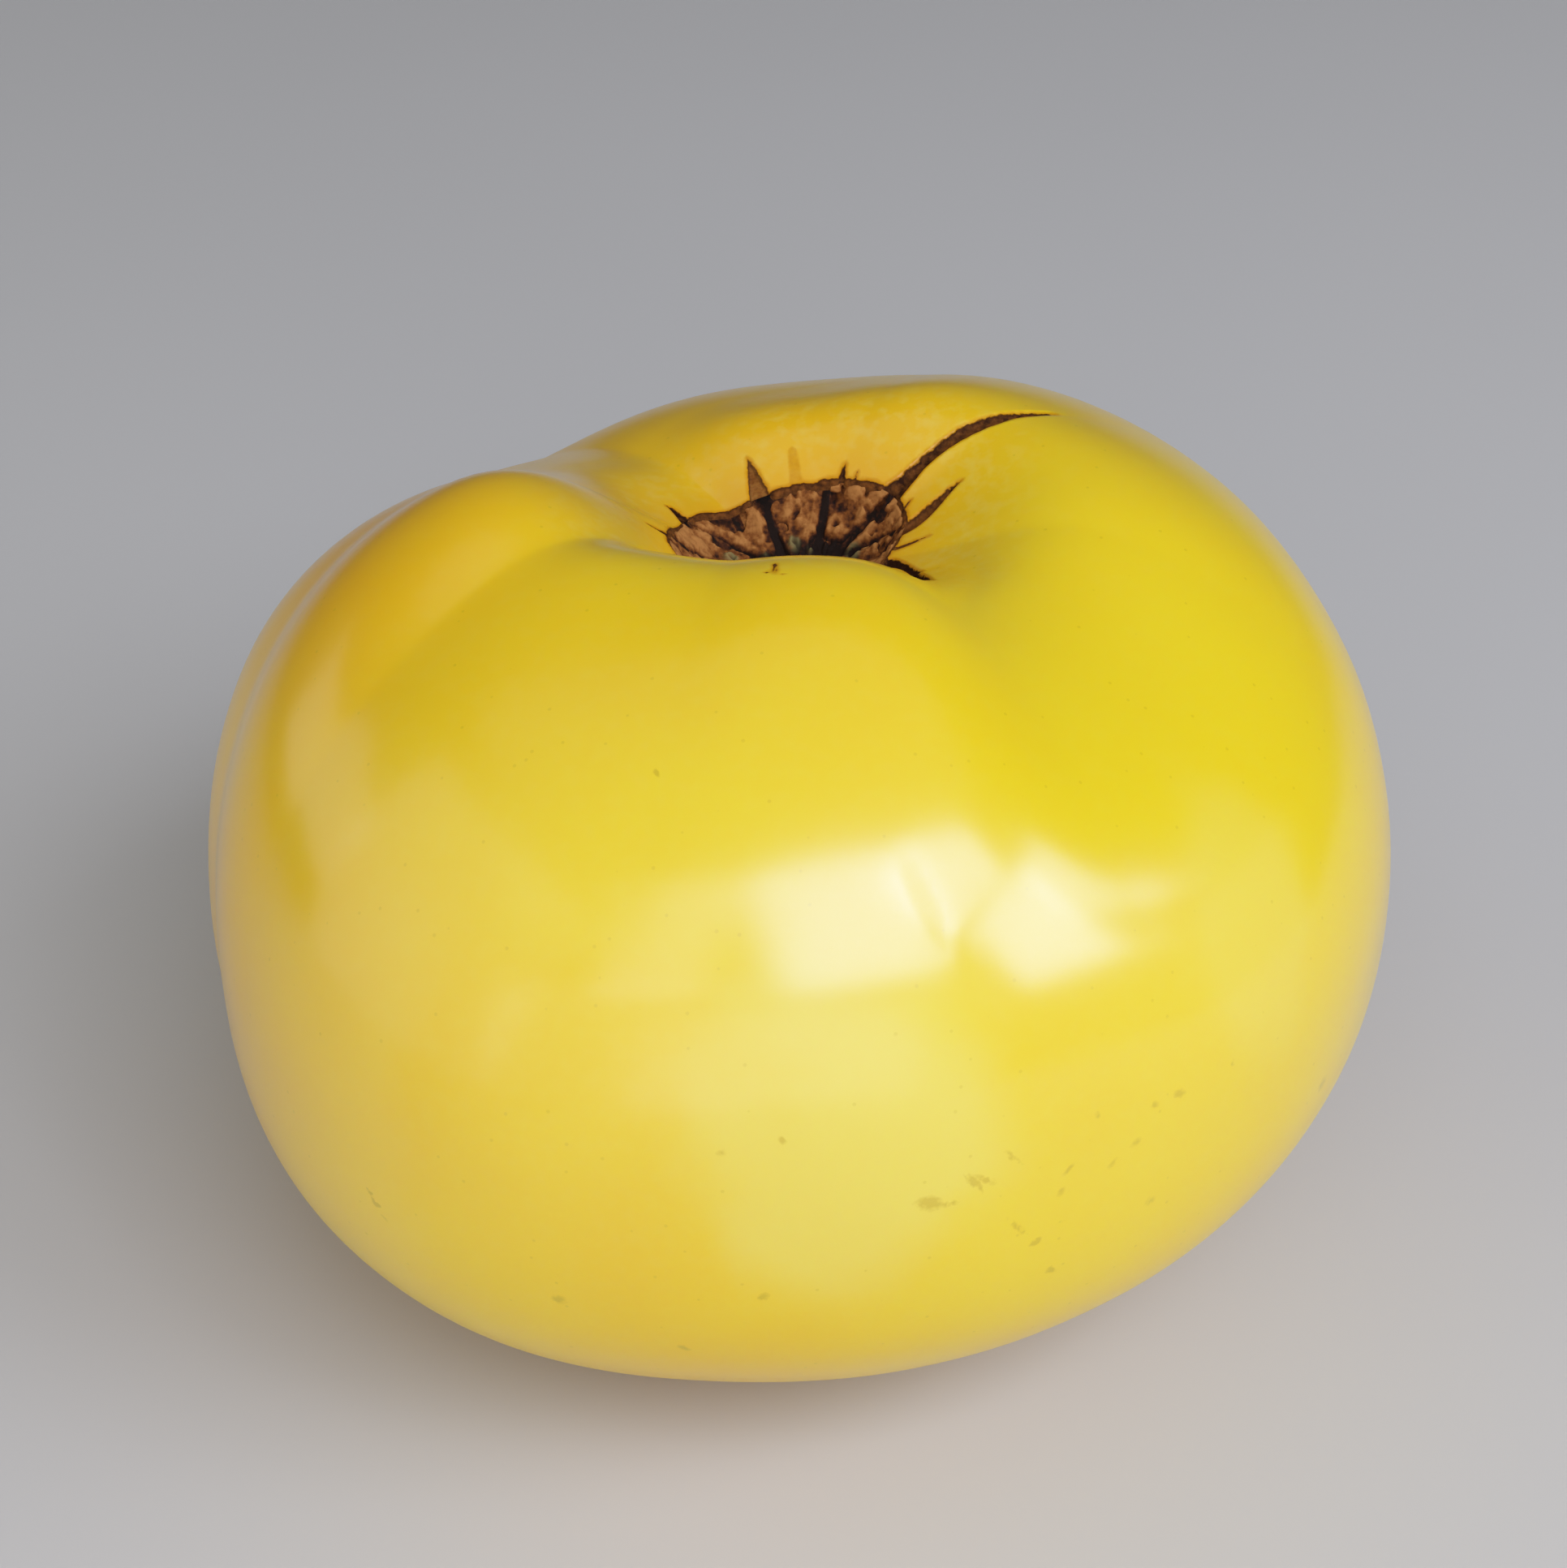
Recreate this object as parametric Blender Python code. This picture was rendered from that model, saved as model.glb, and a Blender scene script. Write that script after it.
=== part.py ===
"""A large yellow beefsteak tomato, picked, with its stem and calyx gone.

The fruit is one solid. Its form is a rounded body that is fuller towards the middle, with lobes round the
stem end, furrows between them, a hollow at the stem, the corky crater that the stem left in it, and the healed
cracks that run out of that crater. It stands on a small flat spot round the blossom end.

Metres, +Z up. The origin is the middle of the flat spot's level, under the centre of the fruit's box. Azimuths
are in degrees round the stem, 0 towards +X and 90 towards +Y, and the fruit is seen from -Y.
"""

from typing import NamedTuple

import bmesh
import bpy
import numpy as np

MM = 0.001

# Driving sizes of the body
MEAN_RADIUS = 48.5 * MM
CROWN_HEIGHT = 34.0 * MM
BASE_DEPTH = 35.5 * MM
CROWN_FULLNESS = 2.32
BASE_FULLNESS = 2.12
REST_TRIM = 1.0 * MM
REST_EASE = 0.35 * MM

# The hollow that the stem sat in
HOLLOW_DEPTH = 8.8 * MM
HOLLOW_HALF_X = 16.9 * MM
HOLLOW_HALF_Y = 11.9 * MM
HOLLOW_STEEPNESS = 3.0
STEM_OFFSET_Y = 4.6 * MM
STEM_OFFSET_FADE = (20.0, 90.0)

# The corky crater at the bottom of the hollow
CRATER_RADIUS = 8.4 * MM
CRATER_DEPTH = 4.0 * MM
CRATER_STEEPNESS = 2.4
CRATER_STEP = 0.3 * MM
CRATER_STEP_START = 0.93
KNOB_FADE = (0.8, 0.95)

# How sharply one lobe gives way to the next, and where the shoulders reach their full rise
LOBE_FOCUS = 9.0
SHOULDER_START = 5.0
SHOULDER_FULL = 40.0

# Where down the side a furrow is deepest, and how far it reaches from there
FURROW_CENTRE = 32.0
FURROW_REACH = 39.0
FURROW_ROUNDNESS = 1.5
FURROW_ONSET = 12.0
FURROW_TURN_SPAN = 60.0

# How a groove follows its crack: where it bends onto and off its line, beside the crack's own start and end
# radii, how many degrees of the mesh bend with it, and its quick onset and tapering end
CRACK_BEND_IN = 0.8
CRACK_BEND_OUT = 1.3
CRACK_BEND_LEAST = 4.0
CRACK_BEND_SHARE = 0.8
CRACK_ONSET = 0.08
CRACK_TAPER = 0.6

# Mesh fineness
MERIDIANS = 104
SCAR_RINGS = 9
HOLLOW_RINGS = 17
SIDE_RINGS = 26
HOLLOW_EDGE = 42.0
HOLLOW_SPACING = 1.25
SEARCH_POLAR = 60.0
SEARCH_STEPS = 241

SKIN_COLOUR = "#EFD22A"
SKIN_ROUGHNESS = 0.28
CORK_COLOUR = "#8C6236"
CORK_ROUGHNESS = 0.85


class Lobe(NamedTuple):
    """One swelling of the fruit: where it is, how far it stands out, and how high its shoulder is."""

    azimuth: float
    swell: float
    rise: float


class Furrow(NamedTuple):
    """A crease between lobes: where it starts, how it turns on its way down, its width and its two depths."""

    azimuth: float
    turn: float
    spread: float
    shoulder: float
    side: float


class Wave(NamedTuple):
    """A wave round the crater's edge: how many there are, where one peaks, and its size beside the radius."""

    count: int
    peak: float
    size: float


class Knobs(NamedTuple):
    """Knobs of cork round the crater: how many, how far their row twists on its way out, and their height."""

    count: int
    twist: float
    height: float


class Crack(NamedTuple):
    """A healed crack in the skin, from the crater's edge outwards."""

    start_azimuth: float
    end_azimuth: float
    start: float
    end: float
    depth: float


LOBES = (
    Lobe(5.0, -1.0 * MM, 1.1 * MM),
    Lobe(50.0, 2.1 * MM, -0.2 * MM),
    Lobe(98.0, -0.9 * MM, -3.7 * MM),
    Lobe(148.0, -0.6 * MM, -5.1 * MM),
    Lobe(190.0, -1.6 * MM, 5.6 * MM),
    Lobe(228.0, 2.9 * MM, 1.5 * MM),
    Lobe(276.0, -1.2 * MM, 4.35 * MM),
    Lobe(324.0, -1.0 * MM, -3.2 * MM),
)

FURROWS = (
    Furrow(32.0, 0.0, 10.0, 0.2 * MM, 0.0 * MM),
    Furrow(68.0, 0.0, 12.0, 0.25 * MM, 0.45 * MM),
    Furrow(129.0, 0.0, 15.5, 1.3 * MM, 1.5 * MM),
    Furrow(171.0, 28.0, 7.5, 0.3 * MM, 0.8 * MM),
    Furrow(212.0, 2.0, 12.5, 1.25 * MM, 0.0 * MM),
    Furrow(252.0, 4.0, 13.0, 0.4 * MM, 0.0 * MM),
    Furrow(305.0, 0.0, 21.0, 0.5 * MM, 0.35 * MM),
    Furrow(350.0, 0.0, 8.0, 0.2 * MM, 0.0 * MM),
)

EDGE_WAVES = (
    Wave(1, 142.0, 0.12),
    Wave(2, 18.0, 0.1),
    Wave(3, 51.0, 0.07),
    Wave(4, 35.0, 0.035),
    Wave(6, 25.0, 0.02),
)

CORK_KNOBS = (
    Knobs(7, 510.0, 0.25 * MM),
    Knobs(13, 230.0, 0.18 * MM),
)

CRACKS = (
    Crack(39.5, 32.6, 9.6 * MM, 25.0 * MM, 0.9 * MM),
    Crack(13.5, 21.3, 8.0 * MM, 13.9 * MM, 0.8 * MM),
    Crack(338.0, 317.0, 7.8 * MM, 14.0 * MM, 0.8 * MM),
    Crack(112.0, 110.5, 7.9 * MM, 11.5 * MM, 0.5 * MM),
)


def smooth_step(value, low, high):
    """0 below low, 1 above high and an even curve between."""
    part = np.clip((value - low) / (high - low), 0.0, 1.0)
    return part * part * (3.0 - 2.0 * part)


def angle_between(first, second):
    """The signed angle from second to first, in degrees, the short way round."""
    return (first - second + 180.0) % 360.0 - 180.0


def lobe_blend(azimuth, amounts):
    """An amount that is given at each lobe, blended smoothly round the fruit."""
    centres = np.array([lobe.azimuth for lobe in LOBES])
    nearness = np.exp(LOBE_FOCUS * (np.cos(np.radians(azimuth[..., None] - centres)) - 1.0))
    return (nearness * np.array(amounts)).sum(axis=-1) / nearness.sum(axis=-1)


def furrow_depth(polar, azimuth):
    """How deep the furrows lie under the even body, by the angle down from the stem and the azimuth."""
    onset = 1.0 - np.exp(-((polar / FURROW_ONSET) ** 2))
    shoulder = np.exp(-(((polar - FURROW_CENTRE) / FURROW_REACH) ** 2)) * onset
    side = np.sin(np.radians(polar)) ** 2
    depth = np.zeros_like(polar)
    for furrow in FURROWS:
        line = furrow.azimuth + furrow.turn * (polar - FURROW_CENTRE) / FURROW_TURN_SPAN
        away = np.abs(angle_between(azimuth, line)) / furrow.spread
        depth += np.exp(-(away**FURROW_ROUNDNESS)) * (furrow.shoulder * shoulder + furrow.side * side)
    return depth


def stem_line_y(polar):
    """How far the stem's line is set back from the middle at an angle down from the stem."""
    return STEM_OFFSET_Y * (1.0 - smooth_step(polar, *STEM_OFFSET_FADE))


def skin_point(polar, azimuth):
    """The smooth skin's place for an angle down from the stem and an azimuth, both in degrees."""
    tilt, turn = np.radians(polar), np.radians(azimuth)
    across, along = np.sin(tilt), np.cos(tilt)
    rise = smooth_step(polar, SHOULDER_START, SHOULDER_FULL) * lobe_blend(azimuth, [lobe.rise for lobe in LOBES])
    height = np.where(along > 0.0, CROWN_HEIGHT + rise, BASE_DEPTH)
    fullness = np.where(along > 0.0, CROWN_FULLNESS, BASE_FULLNESS)
    radius = MEAN_RADIUS + lobe_blend(azimuth, [lobe.swell for lobe in LOBES])
    reach = ((across / radius) ** fullness + (np.abs(along) / height) ** fullness) ** (-1.0 / fullness)
    reach = reach - furrow_depth(polar, azimuth)
    x, y, z = reach * across * np.cos(turn), reach * across * np.sin(turn), reach * along
    away = np.hypot(x / HOLLOW_HALF_X, y / HOLLOW_HALF_Y)
    z = z - np.where(along > 0.0, HOLLOW_DEPTH * np.exp(-(away**HOLLOW_STEEPNESS)), 0.0)
    return x, y + stem_line_y(polar), z


def crater_edge(azimuth):
    """The crater's radius at each azimuth: a wandering round, longest to the left and to the back right."""
    waves = sum(wave.size * np.cos(wave.count * np.radians(azimuth - wave.peak)) for wave in EDGE_WAVES)
    return CRATER_RADIUS * (1.0 + waves)


def polar_at_radius(radius, azimuth):
    """The angle down from the stem at which the skin is a given distance from the stem's line."""
    tries = np.linspace(0.0, SEARCH_POLAR, SEARCH_STEPS)
    found = np.empty_like(radius)
    for index, (wanted, direction) in enumerate(zip(radius, azimuth)):
        x, y, _ = skin_point(tries, np.full_like(tries, direction))
        found[index] = np.interp(wanted, np.hypot(x, y - stem_line_y(tries)), tries)
    return found


def crater_drop(fraction, azimuth):
    """How far the cork lies under the skin's level, by the fraction of the way out to the crater's edge."""
    bowl = (CRATER_DEPTH - CRATER_STEP) * (1.0 - fraction**CRATER_STEEPNESS)
    step = CRATER_STEP * (1.0 - smooth_step(fraction, CRATER_STEP_START, 1.0))
    knobs = sum(row.height * np.cos(np.radians(row.count * azimuth + row.twist * fraction)) for row in CORK_KNOBS)
    return bowl + step + knobs * fraction * (1.0 - smooth_step(fraction, *KNOB_FADE))


def outer_polars(edge_polar):
    """The angles down from the stem of the rings outside the crater, one row for each meridian.

    The rings are close together in the hollow and wider apart over the side.
    """
    spacing = np.linspace(0.0, 1.0, HOLLOW_RINGS + 1)[1:] ** HOLLOW_SPACING
    hollow = edge_polar[:, None] + (HOLLOW_EDGE - edge_polar[:, None]) * spacing
    side = np.linspace(HOLLOW_EDGE, 180.0, SIDE_RINGS + 1)[1:]
    return np.concatenate([hollow, np.tile(side, (MERIDIANS, 1))], axis=1)


def settle(z):
    """Heights above the resting level, with the lowest part of the body pressed flat there."""
    above = z + BASE_DEPTH - REST_TRIM
    eased = (above + REST_EASE) ** 2 / (4.0 * REST_EASE)
    return np.where(above > REST_EASE, above, np.where(above < -REST_EASE, 0.0, eased))


def crack_lines(polar, azimuth, radius):
    """Bends the meridians near each crack so that one lies along it, and gives the groove's depth there."""
    turned, depth = azimuth.copy(), np.zeros_like(azimuth)
    spacing = 360.0 / MERIDIANS
    for crack in CRACKS:
        swing = angle_between(crack.end_azimuth, crack.start_azimuth)
        own = round((crack.start_azimuth + 0.5 * swing) / spacing) * spacing
        away = angle_between(azimuth, own)
        along = np.clip((radius - crack.start) / (crack.end - crack.start), 0.0, 1.0)
        line = crack.start_azimuth + swing * smooth_step(along, 0.0, 1.0)
        pull = smooth_step(radius, CRACK_BEND_IN * crack.start, crack.start) * (polar < 90.0)
        pull = pull * (1.0 - smooth_step(radius, crack.end, CRACK_BEND_OUT * crack.end))
        share = np.exp(-((away / (CRACK_BEND_LEAST + CRACK_BEND_SHARE * abs(swing))) ** 2))
        turned += pull * share * angle_between(line, own)
        groove = smooth_step(along, 0.0, CRACK_ONSET) * (1.0 - along) ** CRACK_TAPER
        on_line = (np.abs(away) < 0.5 * spacing) & (polar < 90.0)
        depth = np.where(on_line, crack.depth * groove, depth)
    return turned, depth


def fruit_places():
    """The place of each vertex, one row of meridians for each ring from the stem to the blossom end."""
    azimuth = np.arange(MERIDIANS) * 360.0 / MERIDIANS
    edge = crater_edge(azimuth)
    rows = []
    for fraction in np.append(np.linspace(0.0, CRATER_STEP_START, SCAR_RINGS), 1.0):
        turned, _ = crack_lines(np.zeros_like(azimuth), azimuth, fraction * edge)
        x, y, z = skin_point(polar_at_radius(fraction * crater_edge(turned), turned), turned)
        rows.append((x, y, z - crater_drop(fraction, turned)))
    for polar in outer_polars(polar_at_radius(edge, azimuth)).T:
        x, y, _ = skin_point(polar, azimuth)
        turned, groove = crack_lines(polar, azimuth, np.hypot(x, y - stem_line_y(polar)))
        x, y, z = skin_point(polar, turned)
        rows.append((x, y, z - groove))
    return np.array(rows)


def build_mesh():
    """The fruit's mesh: a sphere of rings and meridians, moved onto the fruit's form."""
    places = fruit_places()
    places[:, 2] = settle(places[:, 2])
    for axis in (0, 1):
        places[:, axis] -= 0.5 * (places[:, axis].max() + places[:, axis].min())
    rings = len(places) - 1
    shape = bmesh.new()
    bmesh.ops.create_uvsphere(shape, u_segments=MERIDIANS, v_segments=rings, radius=1.0)
    ring_of = {}
    for vertex in shape.verts:
        polar = np.arccos(np.clip(vertex.co.z, -1.0, 1.0))
        turn = np.arctan2(vertex.co.y, vertex.co.x) / (2.0 * np.pi)
        ring_of[vertex] = round(polar / np.pi * rings)
        vertex.co = places[ring_of[vertex], :, round(turn * MERIDIANS) % MERIDIANS]
    for face in shape.faces:
        face.smooth = True
        face.material_index = int(max(ring_of[vertex] for vertex in face.verts) <= SCAR_RINGS)
    bmesh.ops.recalc_face_normals(shape, faces=shape.faces)
    return shape


def srgb_to_linear(code):
    """The linear RGBA of an sRGB hex colour such as #EFD22A."""
    values = [int(code[place : place + 2], 16) / 255.0 for place in (1, 3, 5)]
    return [value / 12.92 if value <= 0.04045 else ((value + 0.055) / 1.055) ** 2.4 for value in values] + [1.0]


def make_material(name, colour, roughness):
    """A plain non-metal material of one colour."""
    material = bpy.data.materials.new(name)
    material.use_nodes = True
    shader = material.node_tree.nodes["Principled BSDF"]
    shader.inputs["Base Color"].default_value = srgb_to_linear(colour)
    shader.inputs["Roughness"].default_value = roughness
    shader.inputs["Metallic"].default_value = 0.0
    return material


def build_fruit():
    """The tomato as one object, with yellow skin and a brown corky crater."""
    shape = build_mesh()
    mesh = bpy.data.meshes.new("tomato")
    shape.to_mesh(mesh)
    shape.free()
    mesh.materials.append(make_material("tomato_skin", SKIN_COLOUR, SKIN_ROUGHNESS))
    mesh.materials.append(make_material("stem_cork", CORK_COLOUR, CORK_ROUGHNESS))
    fruit = bpy.data.objects.new("tomato", mesh)
    bpy.context.collection.objects.link(fruit)
    return fruit


def clear_scene():
    """Removes whatever the scene starts with."""
    for item in list(bpy.data.objects):
        bpy.data.objects.remove(item, do_unlink=True)


clear_scene()
build_fruit()
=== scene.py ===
"""The looks of a large yellow beefsteak tomato: its waxy skin, its corky stem scar and the healed cracks.

Metres, +Z up. Azimuths are in degrees round the stem, 0 towards +X and 90 towards +Y, and polar angles are in
degrees down from the stem end. The fruit is seen from -Y.
"""

import logging
import math
from dataclasses import dataclass, field
from enum import Enum
from typing import Any, NamedTuple, Optional, Sequence, Union

import bmesh
import bpy
import numpy as np
from mathutils import Euler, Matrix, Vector


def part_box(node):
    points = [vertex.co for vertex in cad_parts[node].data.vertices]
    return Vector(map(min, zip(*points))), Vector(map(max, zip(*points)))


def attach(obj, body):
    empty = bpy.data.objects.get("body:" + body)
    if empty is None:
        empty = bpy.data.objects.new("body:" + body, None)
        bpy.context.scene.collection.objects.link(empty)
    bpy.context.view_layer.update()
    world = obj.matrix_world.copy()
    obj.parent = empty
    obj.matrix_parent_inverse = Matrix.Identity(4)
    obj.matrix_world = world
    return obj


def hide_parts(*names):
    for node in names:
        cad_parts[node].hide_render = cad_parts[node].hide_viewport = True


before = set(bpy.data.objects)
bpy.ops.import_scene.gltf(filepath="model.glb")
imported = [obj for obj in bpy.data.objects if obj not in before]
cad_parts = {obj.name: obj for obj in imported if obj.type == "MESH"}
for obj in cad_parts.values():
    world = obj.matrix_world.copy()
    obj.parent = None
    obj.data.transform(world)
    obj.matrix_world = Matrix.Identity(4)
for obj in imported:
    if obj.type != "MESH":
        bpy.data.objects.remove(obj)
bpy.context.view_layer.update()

log = logging.getLogger("tomato")

MM = 0.001
NODE = "tomato"
BODY = "root"

Stops = tuple[tuple[float, Union[float, str]], ...]

# What turns a whole-numbered place into an even random number.
PLACE_WEIGHTS = np.array([12.9898, 78.233, 37.719])
SEED_WEIGHT = 4.1
SPREAD = 43758.5453

# One seed for each axis of a cell's random middle, and a distance in cells that is past any seam.
CELL_SEEDS = (11.0, 23.0, 37.0)
FAR = 9.0

# The sockets of a Mix node where it mixes colours.
COLOUR_A = 6
COLOUR_B = 7
MIXED = 2


class Seed(float, Enum):
    """Which random relief each feature has."""

    RIPPLES = 3.0
    PLATES = 5.0
    LUMPS = 9.0
    FIBRES = 13.0
    PITS = 17.0
    LIP = 21.0
    BEND = 31.0
    PATCHES = 51.0


def smooth_step(value: np.ndarray, low: float, high: float) -> np.ndarray:
    """Eases from 0 to 1.

    Args:
        value: The numbers to ease.
        low: Where the result leaves 0.
        high: Where the result reaches 1.

    Returns:
        0 below low, 1 above high and an even curve between.
    """
    part = np.clip((value - low) / (high - low), 0.0, 1.0)
    return part * part * (3.0 - 2.0 * part)


def angle_between(first: np.ndarray, second: np.ndarray) -> np.ndarray:
    """The signed angle from second to first in degrees, the short way round."""
    return (first - second + 180.0) % 360.0 - 180.0


def scatter(corners: np.ndarray, seed: float) -> np.ndarray:
    """Even random numbers that depend only on whole-numbered places.

    Args:
        corners: Whole-numbered places, with x, y and z along the last axis.
        seed: Picks one set of numbers.

    Returns:
        Numbers from 0 to 1 in the shape of corners without its last axis.
    """
    mixed = np.sin(corners @ PLACE_WEIGHTS + SEED_WEIGHT * seed) * SPREAD
    return mixed - np.floor(mixed)


def neighbours(low: int, high: int) -> list[np.ndarray]:
    """The whole-numbered steps from low to high along x, y and z."""
    span = range(low, high + 1)
    return [np.array([x, y, z], dtype=float) for x in span for y in span for z in span]


def lumps(points: np.ndarray, grain: float, octaves: int, seed: float) -> np.ndarray:
    """Smooth random relief that is the same on each run.

    Args:
        points: Places in metres, with x, y and z along the last axis.
        grain: The size of the largest lumps, in metres.
        octaves: How many layers of lumps there are, each half the size and half the height of the last.
        seed: Picks one relief.

    Returns:
        One number for each place, about -1 to 1.
    """
    total = np.zeros(points.shape[:-1])
    for octave in range(octaves):
        scaled = points * 2.0**octave / grain
        base = np.floor(scaled)
        part = scaled - base
        part = part * part * (3.0 - 2.0 * part)
        for step in neighbours(0, 1):
            weight = np.where(step > 0.5, part, 1.0 - part).prod(axis=-1)
            total += weight * (2.0 * scatter(base + step, seed + octave) - 1.0) * 0.5**octave
    return total


def seams(points: np.ndarray, grain: float, seed: float) -> np.ndarray:
    """Distances to the seams of a pattern of irregular cells.

    Args:
        points: Places in metres, with x, y and z along the last axis.
        grain: The size of a cell, in metres.
        seed: Picks one pattern.

    Returns:
        0 on a seam, rising to about 0.5 inside a cell.
    """
    scaled = points / grain
    base = np.floor(scaled)
    near = np.full(points.shape[:-1], FAR)
    second = near.copy()
    for step in neighbours(-1, 1):
        corner = base + step
        jitter = np.stack([scatter(corner, seed + axis_seed) for axis_seed in CELL_SEEDS], axis=-1)
        away = np.linalg.norm(corner + jitter - scaled, axis=-1)
        second = np.minimum(second, np.maximum(near, away))
        near = np.minimum(near, away)
    return second - near


class Lobe(NamedTuple):
    """One swelling of the fruit: where it is, how far it stands out, and how high its shoulder is."""

    azimuth: float
    swell: float
    rise: float


class Furrow(NamedTuple):
    """A crease between lobes: where it starts, how it turns on its way down, its width and its two depths."""

    azimuth: float
    turn: float
    spread: float
    shoulder: float
    side: float


class Wave(NamedTuple):
    """A wave round the crater's edge: how many there are, where one peaks, and its size beside the radius."""

    count: int
    peak: float
    size: float


class CrackShape(Enum):
    """The outline of a healed crack."""

    WEDGE = "widest at the crater's edge and pointed at its far end"
    SPINDLE = "widest a third of the way out"
    CLUB = "widest near its far end"
    STROKE = "even along its length with a point at its far end"
    STAIN = "a faint streak that never opened"


class Crack(NamedTuple):
    """A healed crack: azimuths and distances from the stem at its ends, half width, depth, tone and outline.

    A tone of 0 is nearly black and 1 is pale.
    """

    start_azimuth: float
    end_azimuth: float
    start: float
    end: float
    half_width: float
    depth: float
    tone: float
    shape: CrackShape


@dataclass(frozen=True)
class FruitForm:
    """The smooth form of the fruit, the same as the solid's, before any fine detail."""

    mean_radius: float = 48.5 * MM
    crown_height: float = 34.0 * MM
    base_depth: float = 35.5 * MM
    crown_fullness: float = 2.32
    base_fullness: float = 2.12
    rest_trim: float = 1.0 * MM
    rest_ease: float = 0.35 * MM
    hollow_depth: float = 8.8 * MM
    hollow_half_x: float = 16.9 * MM
    hollow_half_y: float = 11.9 * MM
    hollow_steepness: float = 3.0
    stem_offset_y: float = 4.6 * MM
    stem_offset_fade: tuple[float, float] = (20.0, 90.0)
    crater_radius: float = 8.4 * MM
    crater_depth: float = 4.0 * MM
    lobe_focus: float = 9.0
    shoulder: tuple[float, float] = (5.0, 40.0)
    furrow_centre: float = 32.0
    furrow_reach: float = 39.0
    furrow_roundness: float = 1.5
    furrow_onset: float = 12.0
    furrow_turn_span: float = 60.0
    search_reach: float = 60.0
    search_steps: int = 241
    box_rings: int = 181
    box_step: float = 2.0
    edge_waves: tuple[Wave, ...] = (
        Wave(1, 142.0, 0.12),
        Wave(2, 18.0, 0.1),
        Wave(3, 51.0, 0.07),
        Wave(4, 35.0, 0.035),
        Wave(6, 25.0, 0.02),
    )
    lobes: tuple[Lobe, ...] = (
        Lobe(5.0, -1.0 * MM, 1.1 * MM),
        Lobe(50.0, 2.1 * MM, -0.2 * MM),
        Lobe(98.0, -0.9 * MM, -3.7 * MM),
        Lobe(148.0, -0.6 * MM, -5.1 * MM),
        Lobe(190.0, -1.6 * MM, 5.6 * MM),
        Lobe(228.0, 2.9 * MM, 1.5 * MM),
        Lobe(276.0, -1.2 * MM, 4.35 * MM),
        Lobe(324.0, -1.0 * MM, -3.2 * MM),
    )
    furrows: tuple[Furrow, ...] = (
        Furrow(32.0, 0.0, 10.0, 0.2 * MM, 0.0 * MM),
        Furrow(68.0, 0.0, 12.0, 0.25 * MM, 0.45 * MM),
        Furrow(129.0, 0.0, 15.5, 1.3 * MM, 1.5 * MM),
        Furrow(171.0, 28.0, 7.5, 0.3 * MM, 0.8 * MM),
        Furrow(212.0, 2.0, 12.5, 1.25 * MM, 0.0 * MM),
        Furrow(252.0, 4.0, 13.0, 0.4 * MM, 0.0 * MM),
        Furrow(305.0, 0.0, 21.0, 0.5 * MM, 0.35 * MM),
        Furrow(350.0, 0.0, 8.0, 0.2 * MM, 0.0 * MM),
    )

    def lobe_blend(self, azimuth: np.ndarray, amounts: Sequence[float]) -> np.ndarray:
        """Blends an amount that is given at each lobe smoothly round the fruit.

        Args:
            azimuth: Where the amount is wanted.
            amounts: One number for each lobe.

        Returns:
            The blended amount at each azimuth.
        """
        centres = np.array([lobe.azimuth for lobe in self.lobes])
        nearness = np.exp(self.lobe_focus * (np.cos(np.radians(azimuth[..., None] - centres)) - 1.0))
        return (nearness * np.array(amounts)).sum(axis=-1) / nearness.sum(axis=-1)

    def furrow_depth(self, polar: np.ndarray, azimuth: np.ndarray) -> np.ndarray:
        """How deep the furrows lie under the even body.

        Args:
            polar: Angles down from the stem.
            azimuth: Azimuths.

        Returns:
            Depths in metres.
        """
        onset = 1.0 - np.exp(-((polar / self.furrow_onset) ** 2))
        shoulder = np.exp(-(((polar - self.furrow_centre) / self.furrow_reach) ** 2)) * onset
        side = np.sin(np.radians(polar)) ** 2
        depth = np.zeros_like(polar)
        for furrow in self.furrows:
            line = furrow.azimuth + furrow.turn * (polar - self.furrow_centre) / self.furrow_turn_span
            away = np.abs(angle_between(azimuth, line)) / furrow.spread
            cut = furrow.shoulder * shoulder + furrow.side * side
            depth += np.exp(-(away**self.furrow_roundness)) * cut
        return depth

    def offset_y(self, polar: np.ndarray) -> np.ndarray:
        """How far the stem's line is moved back from the middle at a polar angle."""
        return self.stem_offset_y * (1.0 - smooth_step(polar, *self.stem_offset_fade))

    def points(self, polar: np.ndarray, azimuth: np.ndarray) -> np.ndarray:
        """The smooth skin's places.

        Args:
            polar: Angles down from the stem.
            azimuth: Azimuths.

        Returns:
            Places round the middle of the body, with x, y and z along the last axis.
        """
        tilt, turn = np.radians(polar), np.radians(azimuth)
        across, along = np.sin(tilt), np.cos(tilt)
        rises = [lobe.rise for lobe in self.lobes]
        rise = smooth_step(polar, *self.shoulder) * self.lobe_blend(azimuth, rises)
        height = np.where(along > 0.0, self.crown_height + rise, self.base_depth)
        full = np.where(along > 0.0, self.crown_fullness, self.base_fullness)
        radius = self.mean_radius + self.lobe_blend(azimuth, [lobe.swell for lobe in self.lobes])
        reach = ((across / radius) ** full + (np.abs(along) / height) ** full) ** (-1.0 / full)
        reach = reach - self.furrow_depth(polar, azimuth)
        x, y, z = reach * across * np.cos(turn), reach * across * np.sin(turn), reach * along
        away = np.hypot(x / self.hollow_half_x, y / self.hollow_half_y)
        z = z - np.where(along > 0.0, self.hollow_depth * np.exp(-(away**self.hollow_steepness)), 0.0)
        return np.stack([x, y + self.offset_y(polar), z], axis=-1)

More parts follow.
